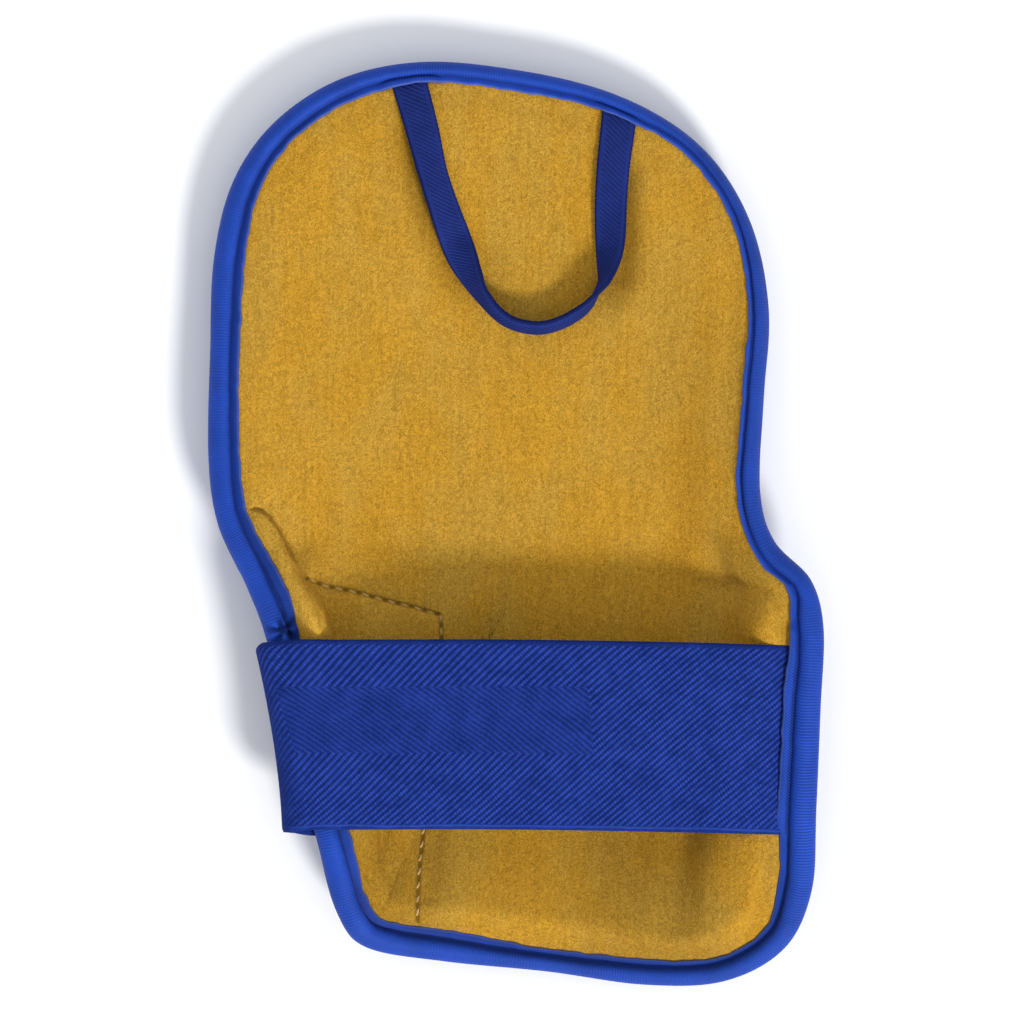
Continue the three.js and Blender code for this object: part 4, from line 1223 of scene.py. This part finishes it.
class HANDPROTECTOR_OT_binding(PieceOperator, bpy.types.Operator):
    """Build the ribbed tape that is rolled and sewn round the edge"""

    bl_idname = "hand_protector.binding"
    bl_label = "Edge binding"

    ALONG, AROUND = 1300, 56
    # What is uneven round the edge: the numbers of waves in it and their seed.
    WAVE, SWAY = ((23, 37, 52, 71), 3), ((9, 14, 22, 31), 8)
    FRILL, DRIFT = ((57, 83, 121, 163), 11), ((17, 31, 64), 5)
    SEAM_SWAY, SEAM_FRILL = 0.15, 0.06
    RIM_WAVE, RIM_FRILL, LIFT_FRILL = 0.12, 0.12, 0.12
    HEIGHT_DRIFT = 0.06
    FLANGE = (0.9, 1.6)  # the inset at which the tape becomes the flange
    LAID_SIDE = (-0.8, 0.6)  # the heights between which the tape follows the layout of its upper side

    def pucker(self, points):
        """The height that the pucker by the strap adds."""
        x, y = points[:, 0] - PUCKER_X, points[:, 1] - PUCKER_Y
        away = np.hypot(x, y) / PUCKER_SIZE
        ridges = np.cos(PUCKER_RIDGES * np.arctan2(y, x)) * PUCKER_RISE * smooth(*PUCKER_RIDGE_START, away)
        hollow = PUCKER_HOLLOW * np.exp(-((PUCKER_HOLLOW_NARROW * away) ** 2))
        return ridges * np.exp(-(away**2)) - hollow

    def flange_lift(self, t):
        """How far the flange is lifted over what lies under it."""
        lift = np.zeros(len(t))
        middle = PANEL.middle(t, np.ones(len(t)))
        for row in FLANGE_LIFTS.values():
            away = np.linalg.norm(middle[:, :2] - (row.x, row.y), axis=1)
            lift = np.maximum(lift, row.lift * (1 - smooth(row.half - row.fade, row.half + row.fade, away)))
        return lift

    def laid_out(self, t, run, inset, up):
        """Fits the section's insets and heights to the tape's own layout at each place along the edge."""
        wave, sway, frill, drift = (
            ripple(run, PANEL.girth, *waves) for waves in (self.WAVE, self.SWAY, self.FRILL, self.DRIFT)
        )
        wide = PANEL.at("wide", t)
        flange = smooth(*self.FLANGE, inset)
        outer, groove = -ROLL_RADIUS, BINDING_GROOVE[0]
        rolled_share = np.clip((inset - outer) / (groove - outer), 0, 1)
        flange_share = np.clip((inset - groove) / (BINDING_OVER[0][0] - groove), 0, 1)
        seam = PANEL.at("seam", t) + self.SEAM_SWAY * sway + self.SEAM_FRILL * frill
        rim = PANEL.at("shown", t) - seam + self.RIM_WAVE * wave + self.RIM_FRILL * frill
        laid = rolled_share * seam + flange_share * rim
        plain = (inset - outer) * wide
        inset = outer * wide + PANEL.at("trim", t) + plain + (laid - plain) * smooth(*self.LAID_SIDE, up)
        height = np.where(flange_share > 0, PANEL.at("lip", t), PANEL.at("roll", t))
        floor = BINDING_GROOVE[1]
        up = np.where(up > floor, floor + (up - floor) * height, up)
        up = up + self.HEIGHT_DRIFT * drift * np.sign(up)
        lift = self.flange_lift(t) + self.LIFT_FRILL * frill * flange_share
        return inset, up + lift * flange * (up > 0)

    def surface_points(self, t, inset, up):
        """The places at insets and heights round the edge: over the panel, or past its edge."""
        over_panel = PANEL.point(t, 1 - np.maximum(inset, 0) / PANEL.at("reach", t), up)
        edge = np.ones(len(t))
        square = PANEL.square(t, edge)
        ahead = unit(PANEL.middle(t + SMALL_STEP, edge) - PANEL.middle(t - SMALL_STEP, edge))
        past_edge = PANEL.middle(t, edge) - np.cross(ahead, square) * inset[:, None] + square * up[:, None]
        return np.where(inset[:, None] > 0, over_panel, past_edge)

    def execute(self, context):
        mesh = grid_mesh(self.AROUND, self.ALONG)
        across, along = grid_shares(vertex_table(mesh))
        section = binding_section(SECTION_STEPS)
        shares = np.linspace(0, 1, len(section))
        inset, up = (np.interp(across, shares, column) for column in section.T)
        t = PANEL.share_of_run(along)
        inset, up = self.laid_out(t, along * PANEL.girth, inset, up)
        points = self.surface_points(t, inset, up)
        points[:, 2] += self.pucker(points) * (up > 0)
        place_vertices(mesh, points)
        bmesh.ops.remove_doubles(mesh, verts=mesh.verts[:], dist=1e-6)
        points = vertex_table(mesh) / MM
        finish = binding_finish(self.settings)
        binding = finish_piece("binding_tape", mesh, finish, "binding_tape", "edge_binding")
        # The pucker's heights, which the tape's colour takes as painted light and shade.
        rise = self.pucker(points) * (points[:, 2] > PUCKER_SHADE_OVER)
        add_point_map(binding, "pucker", rise, rise)
        return {"FINISHED"}


class HANDPROTECTOR_OT_strap(PieceOperator, bpy.types.Operator):
    """Build the woven elastic wrist strap"""

    bl_idname = "hand_protector.strap"
    bl_label = "Wrist strap"

    ALONG, ACROSS = 360, 64
    EDGE_BAND, EDGE_THIN = 0.9, 0.35

    def execute(self, context):
        mesh, flat, low = layered_grid(self.ACROSS, self.ALONG)
        across, along = grid_shares(flat)
        rows = np.rint(along * self.ALONG).astype(int)
        columns = np.rint(across * self.ACROSS).astype(int)
        lines = np.array([strap_line(c / self.ACROSS, self.ALONG + 1) for c in range(self.ACROSS + 1)])
        ahead = np.gradient(lines, axis=1)
        up = unit(np.stack([ahead[..., 2], np.zeros(ahead.shape[:2]), -ahead[..., 0]], -1))
        from_edge = np.minimum(across, 1 - across) * STRAP_WIDTH
        thick = STRAP_THICK * (1 - self.EDGE_THIN * (1 - smooth(0, self.EDGE_BAND, from_edge)))
        whole = smooth(STRAP_HIDDEN / 2, STRAP_HIDDEN, along * STRAP_LENGTH)
        thick *= STRAP_END_THIN + (1 - STRAP_END_THIN) * whole
        level = np.where(low, -0.5, 0.5)
        place_vertices(mesh, lines[columns, rows] + up[columns, rows] * (level * thick)[:, None])
        finish = elastic_finish(self.settings)
        strap = finish_piece("wrist_elastic", mesh, finish, "strap_elastic", "wrist_strap")
        return {"FINISHED"}


class HANDPROTECTOR_OT_loop(PieceOperator, bpy.types.Operator):
    """Build the finger loop with its half twist"""

    bl_idname = "hand_protector.loop"
    bl_label = "Finger loop"

    ALONG, ACROSS = 620, 14
    PICOT, PICOT_PITCH = 0.05, 0.8
    EDGE_BAND, EDGE_THIN = 0.5, 0.4
    FLARE, FLARE_LENGTH = 0.1, 12.0  # by what share it is wider at its ends
    CUP, CUP_AT, CUP_LENGTH = 0.6, 37.5, 5.0  # the tape is bent across where it turns over
    CURL, CURL_NARROW = -0.7, 0.28  # and the other way where it stands, which makes it narrower
    CURL_START, CURL_END = (39.0, 49.0), (61.0, 71.0)

    def execute(self, context):
        mesh, flat, low = layered_grid(self.ACROSS, self.ALONG)
        across, along = grid_shares(flat)
        rows = np.rint(along * self.ALONG).astype(int)
        line, width, face = loop_line(self.ALONG + 1)
        from_edge = np.minimum(across, 1 - across) * LOOP_WIDTH
        edge = 1 - smooth(0, self.EDGE_BAND, from_edge)
        run = along * LOOP_LENGTH
        picot = edge * self.PICOT * np.sin(2 * math.pi * run / self.PICOT_PITCH)
        flare = 1 + self.FLARE * np.exp(-((np.minimum(run, LOOP_LENGTH - run) / self.FLARE_LENGTH) ** 2))
        curled = between(self.CURL_START, self.CURL_END, run)
        flare *= 1 - self.CURL_NARROW * curled
        aside = (across - 0.5) * LOOP_WIDTH * flare + np.sign(across - 0.5) * picot
        thick = LOOP_THICK * (1 - self.EDGE_THIN * edge)
        cup = self.CUP * np.exp(-(((run - self.CUP_AT) / self.CUP_LENGTH) ** 2)) + self.CURL * curled
        outwards = np.where(low, -0.5, 0.5) * thick + cup * (1 - (2 * across - 1) ** 2)
        place_vertices(mesh, line[rows] + width[rows] * aside[:, None] + face[rows] * outwards[:, None])
        mirror_map(mesh, low)
        finish_piece("loop_tape", mesh, loop_finish(self.settings), "loop_tape", "finger_loop")
        return {"FINISHED"}


class HANDPROTECTOR_OT_patch(PieceOperator, bpy.types.Operator):
    """Build the fastener pile on the outer face"""

    bl_idname = "hand_protector.patch"
    bl_label = "Fastener pile"

    ACROSS, DOWN = 70, 130

    def execute(self, context):
        mesh, flat, low = layered_grid(self.ACROSS, self.DOWN)
        across, down = grid_shares(flat)
        rim = (PATCH_RIM[0] + (PATCH_RIM[1] - PATCH_RIM[0]) * down) / len(OUTLINE)
        left = PANEL.middle(rim, 1 - PATCH_EDGE_INSET / PANEL.at("reach", rim))[:, :2]
        right = np.outer(1 - down, PATCH_UPPER_RIGHT) + np.outer(down, PATCH_LOWER_RIGHT)
        t, r = PANEL.place_of(right + (left - right) * across[:, None])
        place_vertices(mesh, PANEL.under(t, r, PATCH_GAP + PATCH_THICK * low))
        finish = pile_finish(self.settings)
        patch = finish_piece("pile_patch", mesh, finish, "fastener_pile", "fastener_patch")
        return {"FINISHED"}


class HANDPROTECTOR_OT_stage(PieceOperator, bpy.types.Operator):
    """Lay the floor, and set the soft lights and the camera"""

    bl_idname = "hand_protector.stage"
    bl_label = "Stage"

    FLOOR_SIZE = 4.0
    KEY_DISTANCE, KEY_SIZE, KEY_POWER, KEY_COLOUR = 3.5, 0.7, 101.0, (1.0, 0.985, 0.96)
    KEY_AZIMUTH, KEY_ELEVATION = math.radians(-62), math.radians(37.5)
    FILL_STRENGTH, FILL_COLOUR = 0.76, (0.97, 1.0, 1.05, 1.0)
    SENSOR_WIDTH = 36.0

    def execute(self, context):
        scene = context.scene
        self.lay_floor(scene)
        self.add_key_light(scene)
        self.add_soft_surround(scene)
        self.add_camera(scene)
        scene.view_settings.view_transform = "Standard"
        return {"FINISHED"}

    def lay_floor(self, scene):
        mesh = bmesh.new()
        bmesh.ops.create_grid(mesh, x_segments=4, y_segments=4, size=self.FLOOR_SIZE / 2)
        data = bpy.data.meshes.new("floor")
        mesh.to_mesh(data)
        mesh.free()
        data.materials.append(floor_finish(self.settings))
        floor = bpy.data.objects.new("floor", data)
        scene.collection.objects.link(floor)

    def add_key_light(self, scene):
        light = bpy.data.lights.new("key_softbox", "AREA")
        light.shape = "DISK"
        light.size = self.KEY_SIZE
        light.energy = self.KEY_POWER
        light.color = self.KEY_COLOUR
        flat, rise = math.cos(self.KEY_ELEVATION), math.sin(self.KEY_ELEVATION)
        towards = Vector((flat * math.cos(self.KEY_AZIMUTH), flat * math.sin(self.KEY_AZIMUTH), rise))
        holder = bpy.data.objects.new("key_softbox", light)
        holder.location = towards * self.KEY_DISTANCE
        holder.rotation_mode = "QUATERNION"
        holder.rotation_quaternion = towards.to_track_quat("Z", "Y")
        scene.collection.objects.link(holder)

    def add_soft_surround(self, scene):
        world = bpy.data.worlds.new("soft_surround")
        world.use_nodes = True
        background = world.node_tree.nodes["Background"]
        background.inputs["Color"].default_value = self.FILL_COLOUR
        background.inputs["Strength"].default_value = self.FILL_STRENGTH
        scene.world = world

    def add_camera(self, scene):
        data = bpy.data.cameras.new("camera")
        data.lens = CAMERA_LENS
        data.sensor_width = self.SENSOR_WIDTH
        camera = bpy.data.objects.new("camera", data)
        camera.location = (CAMERA_X * MM, CAMERA_Y * MM, CAMERA_HEIGHT * MM)
        scene.collection.objects.link(camera)
        scene.camera = camera


class HANDPROTECTOR_PT_pieces(bpy.types.Panel):
    """Lists the settings and the pieces"""

    bl_idname = "HANDPROTECTOR_PT_pieces"
    bl_label = "Hand Protector"
    bl_space_type = "VIEW_3D"
    bl_region_type = "UI"
    bl_category = "Hand Protector"

    def draw(self, context):
        settings = context.scene.hand_protector
        for name in settings.bl_rna.properties.keys():
            if name not in ("rna_type", "name"):
                self.layout.prop(settings, name)
        for operator in OPERATORS:
            self.layout.operator(operator.bl_idname)


OPERATORS = (
    HANDPROTECTOR_OT_stage,
    HANDPROTECTOR_OT_cover,
    HANDPROTECTOR_OT_lining,
    HANDPROTECTOR_OT_stitches,
    HANDPROTECTOR_OT_binding,
    HANDPROTECTOR_OT_patch,
    HANDPROTECTOR_OT_strap,
    HANDPROTECTOR_OT_loop,
)
CLASSES = (HandProtectorSettings, *OPERATORS, HANDPROTECTOR_PT_pieces)


def register():
    for made in CLASSES:
        bpy.utils.register_class(made)
    bpy.types.Scene.hand_protector = PointerProperty(type=HandProtectorSettings)


def unregister():
    del bpy.types.Scene.hand_protector
    for made in reversed(CLASSES):
        bpy.utils.unregister_class(made)


def main():
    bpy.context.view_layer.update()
    register()
    bpy.ops.hand_protector.stage()
    bpy.ops.hand_protector.cover()
    bpy.ops.hand_protector.lining()
    bpy.ops.hand_protector.stitches()
    bpy.ops.hand_protector.binding()
    bpy.ops.hand_protector.patch()
    bpy.ops.hand_protector.strap()
    bpy.ops.hand_protector.loop()


if __name__ == "__main__":
    main()
